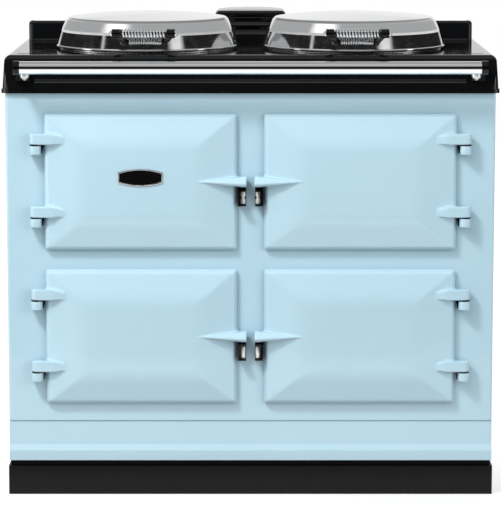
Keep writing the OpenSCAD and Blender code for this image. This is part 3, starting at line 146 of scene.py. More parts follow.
def blend_colours(tree, share, first, second):
    """The first colour where share is 0 and the second where it is 1."""
    node = add(tree, "ShaderNodeMix", {"data_type": "RGBA"}, {0: share, 6: first, 7: second})
    return node.outputs[2]


def grey(level):
    return (level, level, level, 1)


def shade(colour, factor):
    """A colour made darker or lighter by a factor, up to white."""
    return tuple(min(c * factor, 1.0) for c in colour[:3]) + (1.0,)


def srgb(red, green, blue):
    """A colour written as sRGB values from 0 to 255, in the linear values that shaders use."""
    def linear(value):
        v = value / 255
        return v / 12.92 if v <= 0.04045 else ((v + 0.055) / 1.055) ** 2.4
    return (linear(red), linear(green), linear(blue), 1.0)


def bump(tree, shader, height, depth, strength=1.0, after=None):
    """Raises the surface by up to depth metres where height is 1."""
    inputs = {"Height": height, "Distance": depth, "Strength": strength}
    if after is not None:
        inputs["Normal"] = after
    made = add(tree, "ShaderNodeBump", None, inputs).outputs["Normal"]
    tree.links.new(made, shader.inputs["Normal"])
    return made


# ---- Mesh helpers ----

FILLET_SHARE = 0.49
MERGE_LATHE, MERGE_CAD = 1e-7, 2e-6
FLAT_ANGLE = math.radians(0.6)
BEVEL_SEGMENTS, BEVEL_ANGLE, SOFT_SHARP_ANGLE = 3, math.radians(32), math.radians(40)


def mesh_object(name, points, faces):
    mesh = bpy.data.meshes.new(name)
    mesh.from_pydata([tuple(p) for p in points], [], faces)
    mesh.update()
    mesh.shade_smooth()
    return placed(name, mesh)


def bm_object(name, bm, smooth=True):
    mesh = bpy.data.meshes.new(name)
    bm.to_mesh(mesh)
    bm.free()
    if smooth:
        mesh.shade_smooth()
    else:
        mesh.shade_flat()
    return placed(name, mesh)


def modify(obj, kind, **settings):
    """Gives an object a modifier with these settings, and applies it."""
    modifier = obj.modifiers.new(kind, kind)
    for name, value in settings.items():
        setattr(modifier, name, value)
    depsgraph = bpy.context.evaluated_depsgraph_get()
    mesh = bpy.data.meshes.new_from_object(obj.evaluated_get(depsgraph), depsgraph=depsgraph)
    obj.modifiers.clear()
    obj.data = mesh


def finish_piece(obj, material, body, slot, *replaced):
    """Gives a finished piece its material and its body, and hides the CAD nodes that it stands for. The slot
    is not used.
    """
    obj.data.materials.clear()
    obj.data.materials.append(material)
    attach(obj, body)
    if replaced:
        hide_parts(*replaced)


def smin(a, b, k):
    """Smooth least of a and b, blended where they are within k of each other."""
    h = np.clip(0.5 + 0.5 * (b - a) / k, 0, 1)
    return b * (1 - h) + a * h - k * h * (1 - h)


def filleted(points, radii, steps=6):
    """A polyline whose inner corners are rounded, each with its own radius."""
    points = [np.array(p, float) for p in points]
    out = [points[0]]
    for before, here, after, r in zip(points, points[1:], points[2:], radii):
        reach_before, reach_after = np.linalg.norm(before - here), np.linalg.norm(after - here)
        a = (before - here) / reach_before
        b = (after - here) / reach_after
        half = math.acos(max(-1, min(1, float(a @ b)))) / 2
        run = min(r / math.tan(half), FILLET_SHARE * reach_before, FILLET_SHARE * reach_after)
        for t in np.linspace(0, 1, steps + 1):
            out.append((1 - t) ** 2 * (here + a * run) + 2 * t * (1 - t) * here + t * t * (here + b * run))
    out.append(points[-1])
    return [tuple(p) for p in out]


def tidy_normals(obj, sharp=35):
    """Merges doubled points, turns the faces outwards and keeps edges over sharp degrees crisp."""
    bm = bmesh.new()
    bm.from_mesh(obj.data)
    bmesh.ops.remove_doubles(bm, verts=bm.verts, dist=MERGE_LATHE)
    bmesh.ops.recalc_face_normals(bm, faces=bm.faces)
    bm.to_mesh(obj.data)
    bm.free()
    obj.data.set_sharp_from_angle(angle=math.radians(sharp))


def lathe(name, profile, segments, centre, axis="Z"):
    """Turns a profile of (radius, height) points round Z or X. Points on the axis close it."""
    points, faces, rows = [], [], []
    for r, h in profile:
        if r < MERGE_LATHE:
            rows.append([len(points)])
            points.append((0, 0, h))
        else:
            rows.append(list(range(len(points), len(points) + segments)))
            for i in range(segments):
                a = 2 * math.pi * i / segments
                points.append((r * math.cos(a), r * math.sin(a), h))
    if profile[0][0] > MERGE_LATHE and profile[-1][0] > MERGE_LATHE:
        rows.append(rows[0])
    for low, high in zip(rows, rows[1:]):
        for i in range(segments):
            j = (i + 1) % segments
            if len(low) == 1 and len(high) == 1:
                continue
            if len(low) == 1:
                faces.append((low[0], high[j], high[i]))
            elif len(high) == 1:
                faces.append((low[i], low[j], high[0]))
            else:
                faces.append((low[i], low[j], high[j], high[i]))
    turn = Matrix.Rotation(math.pi / 2, 4, "Y") if axis == "X" else Matrix.Identity(4)
    place = Matrix.Translation(centre) @ turn
    made = mesh_object(name, [place @ Vector(p) for p in points], faces)
    tidy_normals(made)
    return made


def tube(name, path, radius, sides):
    """A round tube along a path of points, with flat ends and no twist."""
    path = np.array(path, float)
    steps = np.diff(path, axis=0)
    steps /= np.linalg.norm(steps, axis=1)[:, None]
    along = np.vstack([steps[:1], steps[:-1] + steps[1:], steps[-1:]])
    along /= np.linalg.norm(along, axis=1)[:, None]
    side = np.cross(along[0], (0, 0, 1) if abs(along[0][2]) < 0.9 else (1, 0, 0))
    points, faces = [], []
    for p, t in zip(path, along):
        side = side - t * (side @ t)
        side /= np.linalg.norm(side)
        other = np.cross(t, side)
        for k in range(sides):
            a = 2 * math.pi * k / sides
            points.append(p + radius * (math.cos(a) * side + math.sin(a) * other))
    for i in range(len(path) - 1):
        for k in range(sides):
            m = (k + 1) % sides
            faces.append((i * sides + k, i * sides + m, (i + 1) * sides + m, (i + 1) * sides + k))
    last = (len(path) - 1) * sides
    faces += [tuple(range(sides))[::-1], tuple(range(last, last + sides))]
    return mesh_object(name, points, faces)


def prism(name, section, half_width):
    """A bar along X with a section of (y, z) points."""
    count = len(section)
    points = [(x, y, z) for x in (-half_width, half_width) for y, z in section]
    faces = [tuple(range(count)), tuple(range(2 * count - 1, count - 1, -1))]
    faces += [(i, (i + 1) % count, count + (i + 1) % count, count + i) for i in range(count)]
    made = mesh_object(name, points, faces)
    tidy_normals(made, 40)
    return made


def joined(name, objects):
    """One object from several, which are removed."""
    bm = bmesh.new()
    for obj in objects:
        bm.from_mesh(obj.data)
        bpy.data.objects.remove(obj)
    return bm_object(name, bm)


def hull_of(bm, points):
    """Adds the convex hull of the points."""
    verts = [bm.verts.new(p) for p in points]
    made = bmesh.ops.convex_hull(bm, input=verts)
    inner = [g for g in made["geom_interior"] + made["geom_unused"] if isinstance(g, bmesh.types.BMVert)]
    bmesh.ops.delete(bm, geom=list(set(inner)), context="VERTS")


def ring_points(x, y, z, r, steps=40):
    angles = np.linspace(0, 2 * math.pi, steps, endpoint=False)
    return [(x + r * math.cos(a), y + r * math.sin(a), z) for a in angles]


def soften(node, width):
    """A copy of a CAD node with its edges rounded by a bevel of that width."""
    bm = bmesh.new()
    bm.from_mesh(frame["nodes"][node].data)
    bmesh.ops.remove_doubles(bm, verts=bm.verts, dist=MERGE_CAD)
    bmesh.ops.dissolve_limit(bm, angle_limit=FLAT_ANGLE, verts=bm.verts, edges=bm.edges)
    made = bm_object(f"{node}_soft", bm)
    modify(made, "BEVEL", width=width, segments=BEVEL_SEGMENTS, limit_method="ANGLE",
           angle_limit=BEVEL_ANGLE)
    made.data.shade_smooth()
    made.data.set_sharp_from_angle(angle=SOFT_SHARP_ANGLE)
    return made


# ---- Materials ----

BLUE = srgb(184, 216, 230)


def surface(name, colour, roughness, metallic=0.0, mottle=0.04, mottle_scale=9.0, swing=0.04,
            grain_scale=500.0, grain_depth=0.00002, coat=0.0, specular=0.5):
    """A surface whose colour drifts, whose roughness varies and whose skin has a fine grain."""
    made, tree, shader = new_material(name)
    drift = spread(tree, noise(tree, mottle_scale), 0.0, 1.0)
    colours = blend_colours(tree, drift, shade(colour, 1 - mottle), shade(colour, 1 + mottle))
    smudge = spread(tree, noise(tree, mottle_scale * 4, 5.0), roughness - swing, roughness + swing)
    feed(tree, shader, {"Base Color": colours, "Roughness": smudge, "Metallic": metallic,
                        "Specular IOR Level": specular, "Coat Weight": coat, "Coat Roughness": 0.05})
    bump(tree, shader, noise(tree, grain_scale, 2.0), grain_depth)
    return made


def vitreous_enamel(name, colour, roughness=0.2):
    """Glossy enamel on cast iron: a slow drift of tone, an orange peel skin and a clear coat."""
    made, tree, shader = new_material(name)
    drift = spread(tree, noise(tree, 4.0, 2.0), 0.0, 1.0)
    tone = blend_colours(tree, drift, shade(colour, 0.985), shade(colour, 1.015))
    haze = spread(tree, noise(tree, 12.0, 1.0), roughness + 0.02, roughness + 0.06, 0.1, 0.9)
    feed(tree, shader, {"Base Color": tone, "Roughness": haze, "Coat Weight": 0.6, "Coat Roughness": 0.06})
    peel = bump(tree, shader, noise(tree, 160.0, 1.0), 0.00012)
    bump(tree, shader, noise(tree, 18.0, 1.0), 0.0006, after=peel)
    return made


def black_enamel(name):
    """The hob's enamel: nearly a mirror, with a fine skin over a slow wave."""
    made, tree, shader = new_material(name)
    tone = blend_colours(tree, noise(tree, 12.0), srgb(11, 12, 13), srgb(17, 18, 20))
    haze = spread(tree, noise(tree, 40.0, 5.0), 0.05, 0.12)
    feed(tree, shader, {"Base Color": tone, "Roughness": haze, "Specular IOR Level": 0.42})
    peel = bump(tree, shader, noise(tree, 120.0, 1.0), 0.00004)
    bump(tree, shader, noise(tree, 9.0, 1.0), 0.0005, after=peel)
    return made


def polished_chrome(name, colour=(0.86, 0.87, 0.88, 1.0), roughness=0.05, ripple=0.0002):
    """Plated and buffed metal, with faint polishing marks and a slight ripple."""
    made, tree, shader = new_material(name)
    tone = blend_colours(tree, noise(tree, 22.0), shade(colour, 0.97), shade(colour, 1.02))
    marks = spread(tree, noise(tree, 70.0, 6.0), roughness * 0.6, roughness * 1.6)
    feed(tree, shader, {"Base Color": tone, "Roughness": marks, "Metallic": 1.0})
    bump(tree, shader, noise(tree, 11.0, 1.0), ripple)
    return made


def turned_metal(name, colour, roughness, centres, pitch, depth, metallic=1.0):
    """Metal turned on a lathe: fine rings about the nearer of the given centres, in X and Y."""
    made, tree, shader = new_material(name)
    reach = None
    for x, y in centres:
        away = vectors(tree, "SUBTRACT", object_place(tree), (x, y, 0))["Vector"]
        flat = vectors(tree, "MULTIPLY", away, (1, 1, 0))["Vector"]
        r = vectors(tree, "LENGTH", flat)["Value"]
        reach = r if reach is None else maths(tree, "MINIMUM", reach, r)
    rings = maths(tree, "SINE", maths(tree, "MULTIPLY", reach, 2 * math.pi / pitch))
    pits = noise(tree, 260.0, 5.0, roughness=0.7)
    drift = spread(tree, noise(tree, 25.0, 5.0), 0, 1)
    tone = blend_colours(tree, drift, shade(colour, 0.82), shade(colour, 1.18))
    worn = spread(tree, pits, roughness - 0.08, roughness + 0.1)
    feed(tree, shader, {"Base Color": tone, "Roughness": worn, "Metallic": metallic})
    first = bump(tree, shader, rings, depth)
    bump(tree, shader, pits, depth * 2, 0.6, first)
    return made


def brushed_metal(name, colour, roughness, stretch=(1, 1, 0.02), grain_scale=900.0):
    """Metal rubbed in one direction: a noise drawn out along one axis."""
    made, tree, shader = new_material(name)
    drawn = add(tree, "ShaderNodeMapping", None, {"Vector": object_place(tree), "Scale": stretch})
    lines = noise(tree, grain_scale, 3.0, drawn.outputs["Vector"])
    tone = blend_colours(tree, spread(tree, lines, 0, 1), shade(colour, 0.88), shade(colour, 1.1))
    worn = spread(tree, lines, roughness - 0.06, roughness + 0.1)
    feed(tree, shader, {"Base Color": tone, "Roughness": worn, "Metallic": 1.0})
    bump(tree, shader, lines, 0.00003)
    return made


def speckled_enamel(name):
    """Oven enamel: near black with fine pale flecks."""
    made, tree, shader = new_material(name)
    cells = add(tree, "ShaderNodeTexVoronoi", None, {"Vector": object_place(tree), "Scale": 330.0})
    fleck = spread(tree, cells.outputs["Distance"], 1.0, 0.0, 0.12, 0.2)
    chosen = spread(tree, noise(tree, 420.0, 0.0), 0.0, 1.0, 0.56, 0.6)
    share = maths(tree, "MULTIPLY", fleck, chosen)
    base = blend_colours(tree, noise(tree, 8.0), srgb(28, 28, 31), srgb(40, 41, 44))
    tone = blend_colours(tree, share, base, srgb(190, 192, 195))
    haze = spread(tree, noise(tree, 60.0), 0.25, 0.4)
    feed(tree, shader, {"Base Color": tone, "Roughness": haze})
    bump(tree, shader, noise(tree, 220.0, 2.0), 0.00008)
    return made


def galvanised(name):
    """Zinc-coated sheet with its crystal spangle."""
    made, tree, shader = new_material(name)
    cells = add(tree, "ShaderNodeTexVoronoi", None, {"Vector": object_place(tree), "Scale": 90.0})
    parts = add(tree, "ShaderNodeSeparateColor", None, {"Color": cells.outputs["Color"]})
    spangle = parts.outputs["Red"]
    tone = blend_colours(tree, spangle, srgb(150, 154, 157), srgb(186, 190, 192))
    haze = spread(tree, spangle, 0.3, 0.5, 0.0, 1.0)
    feed(tree, shader, {"Base Color": tone, "Roughness": haze, "Metallic": 0.85})
    bump(tree, shader, noise(tree, 300.0), 0.00003)
    return made


def braided_rope(name):
    """Woven heat-proof rope: two sets of strands that cross."""
    made, tree, shader = new_material(name)
    waves = []
    for turn in (0.8, -0.8):
        inputs = {"Vector": object_place(tree), "Rotation": (0, turn, 0)}
        turned = add(tree, "ShaderNodeMapping", None, inputs).outputs["Vector"]
        inputs = {"Vector": turned, "Scale": 150.0, "Distortion": 1.5}
        waves.append(add(tree, "ShaderNodeTexWave", {"bands_direction": "X"}, inputs).outputs["Fac"])
    weave = maths(tree, "MAXIMUM", *waves)
    tone = blend_colours(tree, weave, srgb(96, 92, 84), srgb(172, 166, 152))
    feed(tree, shader, {"Base Color": tone, "Roughness": 0.9})
    bump(tree, shader, weave, 0.0008)
    return made


def iron_centres():
    """The middles of the two hotplates, in X and Y."""
    low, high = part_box("hotplate_right")
    x, y = (low.x + high.x) / 2, (low.y + high.y) / 2
    return [(-x, y), (x, y)]


MATERIALS = {
    "blue": vitreous_enamel("blue_enamel", BLUE),
    "black": black_enamel("black_enamel"),
    "chrome": polished_chrome("chrome"),
    "lid_chrome": polished_chrome("lid_chrome", (0.79, 0.80, 0.81, 1.0), 0.08, 0.0003),
    "satin": polished_chrome("satin_chrome", roughness=0.28),
    "nickel": surface("bright_nickel", srgb(238, 239, 240), 0.18, metallic=0.5),
    "bracket": surface("black_bracket", srgb(8, 8, 9), 0.12, swing=0.03, grain_scale=300.0, specular=0.28),
    "plinth": surface("plinth_black", srgb(11, 11, 12), 0.4, mottle=0.1, grain_scale=700.0,
                      grain_depth=0.00004, specular=0.2),
    # The base frame's near-black, darker than the plinth's, is painted shade for the recessed slot between
    # the lower panel and the plinth.
    "tray_and_slot_shade": surface("base_frame_painted_shade", srgb(4, 4, 5), 0.5, grain_scale=600.0, specular=0.08),
    "paint": surface("dial_paint", srgb(226, 226, 220), 0.5),
    "oven": speckled_enamel("oven_enamel"),
    "zinc": galvanised("galvanised_sheet"),
    "bright": brushed_metal("bright_steel", srgb(190, 190, 192), 0.25),
    "wire": polished_chrome("shelf_wire", (0.72, 0.73, 0.74, 1.0), 0.16),
    "plug": brushed_metal("aluminium_plug", srgb(176, 178, 180), 0.34, (0.02, 1, 1), 700.0),
    "rope": braided_rope("rope_seal"),
    "wool": surface("mineral_wool", srgb(176, 150, 104), 0.95, mottle=0.2, mottle_scale=60.0,
                    grain_scale=900.0, grain_depth=0.002),
    "plastic": surface("black_plastic", srgb(22, 22, 23), 0.5, grain_scale=1500.0, grain_depth=0.00005),
    "knob": surface("knob_black", srgb(15, 15, 16), 0.24, grain_scale=1200.0, coat=0.4),
    "switch": surface("switch_grey", srgb(196, 196, 190), 0.5),
    "badge": surface("badge_enamel", srgb(9, 9, 10), 0.12, coat=1.0, grain_scale=200.0),
    "iron": turned_metal("hotplate_iron", srgb(92, 92, 94), 0.42, iron_centres(), 0.0016, 0.00002, 0.9),
    "lid_plug": turned_metal("lid_plug_metal", srgb(188, 190, 192), 0.28, iron_centres(), 0.0012, 0.00001),
}

CORNERS = ("top_left", "top_right", "bottom_left", "bottom_right")


def at_corners(stem):
    """The names of the four nodes that share a stem, one to a door."""
    return [f"{stem}_{corner}" for corner in CORNERS]


DRESS = {
    "blue": ["lower_panel", "front_plate", "side_panel_left", "side_panel_right", "hinge_brackets",
             *at_corners("door")],
    "black": ["top_plate", "hob_discs", "vent_housing"],
    "plinth": ["plinth"],
    "tray_and_slot_shade": ["base_frame"],
    "bracket": ["rail_brackets", "catch_brackets", "lid_hinge_blocks", "lid_left_brackets",
                "lid_right_brackets"],
    "chrome": ["handrail", "lid_left_handle", "lid_right_handle"],
    "lid_chrome": ["lid_left_shell", "lid_right_shell"],
    "lid_plug": ["lid_left_liner", "lid_right_liner"],
    "nickel": ["rail_bosses", *at_corners("roller")],
    "plug": at_corners("liner"),
    "rope": ["door_seals"],
    "badge": ["badge_plate"],
    "satin": ["badge_rim"],
    "iron": ["hotplate_left", "hotplate_right"],
    "bright": ["hotplate_rings", "heating_elements", "hinge_pins", "levelling_feet", "panel_screws"],
    "zinc": ["rear_panel", "vent_duct", "hotplate_supports"],
    "oven": ["roasting_oven", "baking_oven", "simmering_oven", "control_box"],
    "wire": ["oven_shelves"],
    "wool": ["insulation"],
    "plastic": ["cable_gland", "control_fascia"],
    "switch": ["control_switches"],
    "knob": ["knob_left", "knob_middle", "knob_right"],
}
NODE_MATERIALS = {node: key for key, nodes in DRESS.items() for node in nodes}
NODE_BODY = {node: body for body, nodes in frame["record"]["behaviour"]["bodies"].items() for node in nodes}
NODE_SLOT = {part["node"]: part["material_slot"] for part in frame["record"]["subparts"]}


def dress_cad():
    """Gives each CAD node its material."""
    for node, key in NODE_MATERIALS.items():
        mesh = frame["nodes"][node].data
        mesh.materials.clear()
        mesh.materials.append(MATERIALS[key])


def stand_in(obj, node):
    """obj takes the place of a CAD node, with its material and body."""
    finish_piece(obj, MATERIALS[NODE_MATERIALS[node]], NODE_BODY[node], NODE_SLOT[node], node)


def add_on(obj, material, node):
    """obj is carried by a CAD node, with a material of its own."""
    finish_piece(obj, MATERIALS[material], NODE_BODY[node], NODE_SLOT[node])


# ---- Doors ----

DOOR_W, DOOR_H = 0.387, 0.276
DOOR_EDGE, DOOR_CORNER = 0.005, 0.006
SHOULDER_RISE, SHOULDER_RUN, SHOULDER_POWER = 0.008, 0.0065, 1.3
# The slope starts at this share of the shoulder, and runs up to the field
SLOPE_RISE, SLOPE_START = 0.016, 0.5
FIELD_IN_X, FIELD_IN_Z = 0.076, 0.062
FIELD_BLEND, HIP_BLEND = 0.3, 0.0006
FACE_COLUMNS, FACE_ROWS = 130, 93
DOOR_VOXEL, DOOR_SMOOTHINGS = 0.002, 3

LUG_HEIGHT, LUG_RISES = 0.022, (0.079, 0.226)
BARREL_R, BARREL_BACK = 0.0115, 0.75
PIN_SETBACK, PIN_BORE_R = 0.021, 0.0042
# A pin's bore starts this far below its lug, and is this much shorter than the lug's height
BORE_BELOW, BORE_SHORT = 0.002, 0.001
LUG_STRAIGHT, LUG_REACH, LUG_SINK = 0.034, 0.060, 0.0048
# Lower and upper edge of the tongue's tip, as shares of half the lug's height
LUG_TIP = (-0.8, 0.35)

ARM_RISE, ARM_HEIGHT, ARM_REACH = 0.1303, 0.0206, 0.099
ARM_END, ARM_TIP_PROUD = 0.008, 0.0004
# Front of the arm from its lower to its upper edge: the setback, and the share of the arm's height
ARM_FRONT = [(0.006, 0.0), (0.0, 0.32), (0.007, 0.86), (0.012, 1.0)]


def door_relief(dx, dz):
    """Height of a door's face above its back, at distances dx and dz from its nearer edges."""
    start = SHOULDER_RUN * SLOPE_START

    def rise(d, inset):
        ease = np.clip(d / SHOULDER_RUN, 0, 1)
        shoulder = SHOULDER_RISE * (1 - (1 - ease) ** SHOULDER_POWER)
        t = (d - start) / (inset - start)
        return DOOR_EDGE + shoulder + SLOPE_RISE * np.maximum(smin(t, 1.0, FIELD_BLEND), 0)

    return smin(rise(dx, FIELD_IN_X), rise(dz, FIELD_IN_Z), HIP_BLEND)


def round_corner(x, z):
    """A point of the door's rectangle, drawn in where it lies outside a rounded corner."""
    cx = min(max(x, DOOR_CORNER), DOOR_W - DOOR_CORNER)
    cz = min(max(z, DOOR_CORNER), DOOR_H - DOOR_CORNER)
    away = math.hypot(x - cx, z - cz)
    if away <= DOOR_CORNER:
        return x, z
    return cx + (x - cx) * DOOR_CORNER / away, cz + (z - cz) * DOOR_CORNER / away


def door_slab(bm, left, bottom, back):
    """The door's plate: a grid over its face, walls round its edge and a flat back."""
    columns, rows = FACE_COLUMNS, FACE_ROWS
    front, rear = [], []
    for v in np.linspace(0, DOOR_H, rows):
        for u in np.linspace(0, DOOR_W, columns):
            x, z = round_corner(u, v)
            h = float(door_relief(min(x, DOOR_W - x), min(z, DOOR_H - z)))
            front.append(bm.verts.new((left + x, back - h, bottom + z)))
            rear.append(bm.verts.new((left + x, back, bottom + z)))

    def at(i, j):
        return j * columns + i

    for j in range(rows - 1):
        for i in range(columns - 1):
            a, b, c, d = at(i, j), at(i + 1, j), at(i + 1, j + 1), at(i, j + 1)
            bm.faces.new((front[a], front[b], front[c], front[d]))
            bm.faces.new((rear[d], rear[c], rear[b], rear[a]))
    rim = [at(i, 0) for i in range(columns)] + [at(columns - 1, j) for j in range(1, rows)]
    rim += [at(i, rows - 1) for i in range(columns - 2, -1, -1)] + [at(0, j) for j in range(rows - 2, 0, -1)]
    for a, b in zip(rim, rim[1:] + rim[:1]):
        bm.faces.new((front[b], front[a], rear[a], rear[b]))


def door_lug(bm, hinge_x, hinge_y, z):
    """Barrel on the hinge axis with a tongue that runs into the door's slope."""
    half = LUG_HEIGHT / 2
    front, rear = hinge_y - BARREL_R, hinge_y + BARREL_R * BARREL_BACK
    foot = ring_points(hinge_x, hinge_y, z - half, BARREL_R)
    hull_of(bm, foot + ring_points(hinge_x, hinge_y, z + half, BARREL_R))
    bend_x, tip_x = hinge_x - LUG_STRAIGHT, hinge_x - LUG_REACH
    points = [(x, y, z + dz) for x in (hinge_x, bend_x) for y in (front, rear) for dz in (-half, half)]
    points += [(tip_x, y, z + half * share) for y in (front + LUG_SINK, rear) for share in LUG_TIP]
    hull_of(bm, points)


def catch_arm(bm, box_low, bottom, field_y, rim_y):
    """Bevelled arm that tapers from its free end to a point on the door's field."""
    end_x, front = box_low.x, box_low.y
    low = bottom + ARM_RISE
    section = [(front + back, low + ARM_HEIGHT * share) for back, share in ARM_FRONT]
    section = [(rim_y, low)] + section + [(rim_y, low + ARM_HEIGHT)]
    points = [(x, y, z) for x in (end_x, end_x + ARM_END) for y, z in section]
    tip_x, tip_z = end_x + ARM_REACH, low + ARM_HEIGHT * 0.5
    points += [(tip_x, field_y - ARM_TIP_PROUD, tip_z), (tip_x, rim_y, tip_z)]
    hull_of(bm, points)


def cut_bore(obj, x, y, z, depth):
    """Cuts a hinge pin's bore upwards from z."""
    bm = bmesh.new()
    bmesh.ops.create_cone(bm, cap_ends=True, segments=32, radius1=PIN_BORE_R, radius2=PIN_BORE_R,
                          depth=depth, matrix=Matrix.Translation((x, y, z + depth / 2)))
    cutter = bm_object("cutter", bm)
    modify(obj, "BOOLEAN", operation="DIFFERENCE", solver="EXACT", object=cutter)
    bpy.data.objects.remove(cutter)


def hinge_axis():
    """Place of the right-hand doors' pins, in X and Y."""
    low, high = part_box("door_top_right")
    return high.x - BARREL_R, low.y + PIN_SETBACK


def door_casting():
    """The right-hand door of the upper row, as one fused and softened casting."""
    low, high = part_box("door_top_right")
    liner_low, liner_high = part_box("liner_top_right")
    hinge_x, hinge_y = hinge_axis()
    left = (liner_low.x + liner_high.x) / 2 - DOOR_W / 2
    back, bottom = high.y, low.z
    field_y = back - DOOR_EDGE - SHOULDER_RISE - SLOPE_RISE
    bm = bmesh.new()
    door_slab(bm, left, bottom, back)
    for rise in LUG_RISES:
        door_lug(bm, hinge_x, hinge_y, bottom + rise)
    catch_arm(bm, low, bottom, field_y, back - DOOR_EDGE)
    made = bm_object("door_casting_work", bm)
    modify(made, "REMESH", mode="VOXEL", voxel_size=DOOR_VOXEL)
    modify(made, "SMOOTH", factor=0.5, iterations=DOOR_SMOOTHINGS)
    for rise in LUG_RISES:
        foot = bottom + rise - LUG_HEIGHT / 2 - BORE_BELOW
        cut_bore(made, hinge_x, hinge_y, foot, LUG_HEIGHT - BORE_SHORT)
    return made


def make_doors():
    """Four doors from one casting: mirrored to the left, and lowered to the lower row."""
    casting = door_casting()
    source_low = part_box("door_top_right")[0].z
    for node in at_corners("door"):
        side = -1 if node.endswith("left") else 1
        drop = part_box(node)[0].z - source_low
        mesh = casting.data.copy()
        mesh.transform(Matrix.Translation((0, 0, drop)) @ Matrix.Diagonal((side, 1, 1, 1)))
        if side < 0:
            mesh.flip_normals()
        mesh.shade_smooth()
        stand_in(placed(f"{node}_casting", mesh), node)
    bpy.data.objects.remove(casting)


# ---- Lower panel ----

BEAD_OUT, BEAD_RISE, BEAD_SLOPE = 0.0065, 0.021, 0.0125
ROLL_LEAN = math.radians(4)
PANEL_ROUNDINGS = [0.0015, 0.002, 0.004, 0.0015]


def make_lower_panel():
    """The panel over the plinth, with a bead that rolls down to its bottom edge."""
    low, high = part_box("lower_panel")
    face = low.y + BEAD_OUT
    crest_z = low.z + BEAD_RISE
    foot_y = low.y + BEAD_RISE * math.tan(ROLL_LEAN)
    corners = [(high.y, high.z), (face, high.z), (face, crest_z + BEAD_SLOPE), (low.y, crest_z),
               (foot_y, low.z), (high.y, low.z)]
    section = filleted(corners, PANEL_ROUNDINGS)
    stand_in(prism("lower_panel_roll", section, high.x), "lower_panel")


# ---- Dials ----

TICK_COUNT, TICK_R, TICK_L, TICK_W, TICK_T = 9, 0.0275, 0.004, 0.0012, 0.0003
TICK_SWEEP = math.radians(270)
NOTCH_W, NOTCH_DEPTH, NOTCH_SINK = 0.0018, 0.001, 0.0002
# The notch runs from this far above the knob's middle to this share of its radius
NOTCH_START, NOTCH_REACH = 0.003, 0.7
PAINT_EDGE = 0.00015


def slab_points(low, high):
    """Corners of a thin slab whose front is drawn in a little all round."""
    back = [(x, high[1], z) for x in (low[0], high[0]) for z in (low[2], high[2])]
    xs = (low[0] + PAINT_EDGE, high[0] - PAINT_EDGE)
    zs = (low[2] + PAINT_EDGE, high[2] - PAINT_EDGE)
    return back + [(x, low[1], z) for x in xs for z in zs]


def make_dials():
    """White inlays in the knobs' notches and ticks round them on the fascia."""
    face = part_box("control_fascia")[0].y
    tick_slab = slab_points((-TICK_W / 2, -TICK_T, TICK_R - TICK_L / 2), (TICK_W / 2, 0, TICK_R + TICK_L / 2))
    ticks = bmesh.new()
    for word in ("left", "middle", "right"):
        node = f"knob_{word}"
        low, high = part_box(node)
        x, z, r = (low.x + high.x) / 2, (low.z + high.z) / 2, (high.x - low.x) / 2
        foot = (x - NOTCH_W / 2, low.y + NOTCH_SINK, z + NOTCH_START)
        head = (x + NOTCH_W / 2, low.y + NOTCH_DEPTH, z + r * NOTCH_REACH)
        inlay = bmesh.new()
        hull_of(inlay, slab_points(foot, head))
        add_on(bm_object(f"{node}_inlay", inlay, False), "paint", node)
        for i in range(TICK_COUNT):
            turn = Matrix.Rotation(TICK_SWEEP * i / (TICK_COUNT - 1), 4, "Y")
            place = Matrix.Translation((x, face, z)) @ turn
            hull_of(ticks, [place @ Vector(p) for p in tick_slab])
    add_on(bm_object("fascia_ticks", ticks, False), "paint", "control_fascia")


# ---- Hinge packing, painted shade in the hinge gaps ----

# Sizes of the dark washers and wedges that paint the shade in the hinge gaps
SHADE_PACKING_R, SHADE_PACKING_T, SHADE_PACKING_CLEAR = 0.0113, 0.0022, 0.0002
SHADE_PACKING_X, SHADE_PACKING_FRONT, SHADE_PACKING_BACK = 0.4152, -0.3505, -0.3412
SHADE_PACKING_TAPER = 0.0012
BRACKET_H = 0.017


def shade_packing(pin_x, pin_y, high, side):
    """One dark washer below height high, with a wedge down its bracket's inner side: painted shade in the
    gaps round a hinge. side -1 mirrors it.
    """
    low = high - SHADE_PACKING_T
    foot = low - BRACKET_H
    bracket_x = pin_x - BARREL_R
    depths = (SHADE_PACKING_FRONT, SHADE_PACKING_BACK)
    shade_washer = ring_points(pin_x, pin_y, low, SHADE_PACKING_R) + ring_points(pin_x, pin_y, high, SHADE_PACKING_R)
    shade_wedge = [(SHADE_PACKING_X, low), (bracket_x, low), (bracket_x - SHADE_PACKING_TAPER, foot), (bracket_x, foot)]
    bm = bmesh.new()
    hull_of(bm, shade_washer + [(SHADE_PACKING_X, y, z) for y in depths for z in (low, high)])
    hull_of(bm, [(x, y, z) for y in depths for x, z in shade_wedge])
    bmesh.ops.scale(bm, vec=(side, 1, 1), verts=bm.verts)
    return bm


def make_hinge_shade_packing():
    """Black washers and wedges round each hinge bracket, put there as painted shade in the gaps under the
    lugs and beside the brackets.
    """
    pin_x, pin_y = hinge_axis()
    for row in ("top", "bottom"):
        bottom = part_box(f"door_{row}_right")[0].z
        for count, rise in enumerate(LUG_RISES):
            high = bottom + rise - LUG_HEIGHT / 2 - SHADE_PACKING_CLEAR
            for side, word in ((-1, "left"), (1, "right")):
                shade_washer = shade_packing(pin_x, pin_y, high, side)
                made = bm_object(f"hinge_packing_{row}_{count}_{word}", shade_washer, False)
                tidy_normals(made)
                slot = NODE_SLOT["catch_brackets"]
                # The black of these pieces is painted shade in the hinge gaps.
                finish_piece(made, MATERIALS["bracket"], NODE_BODY["hinge_brackets"], slot)


# ---- Rail bosses and catch rollers ----

BOSS_EDGE, BOSS_FOOT_H = 0.001, 0.0004
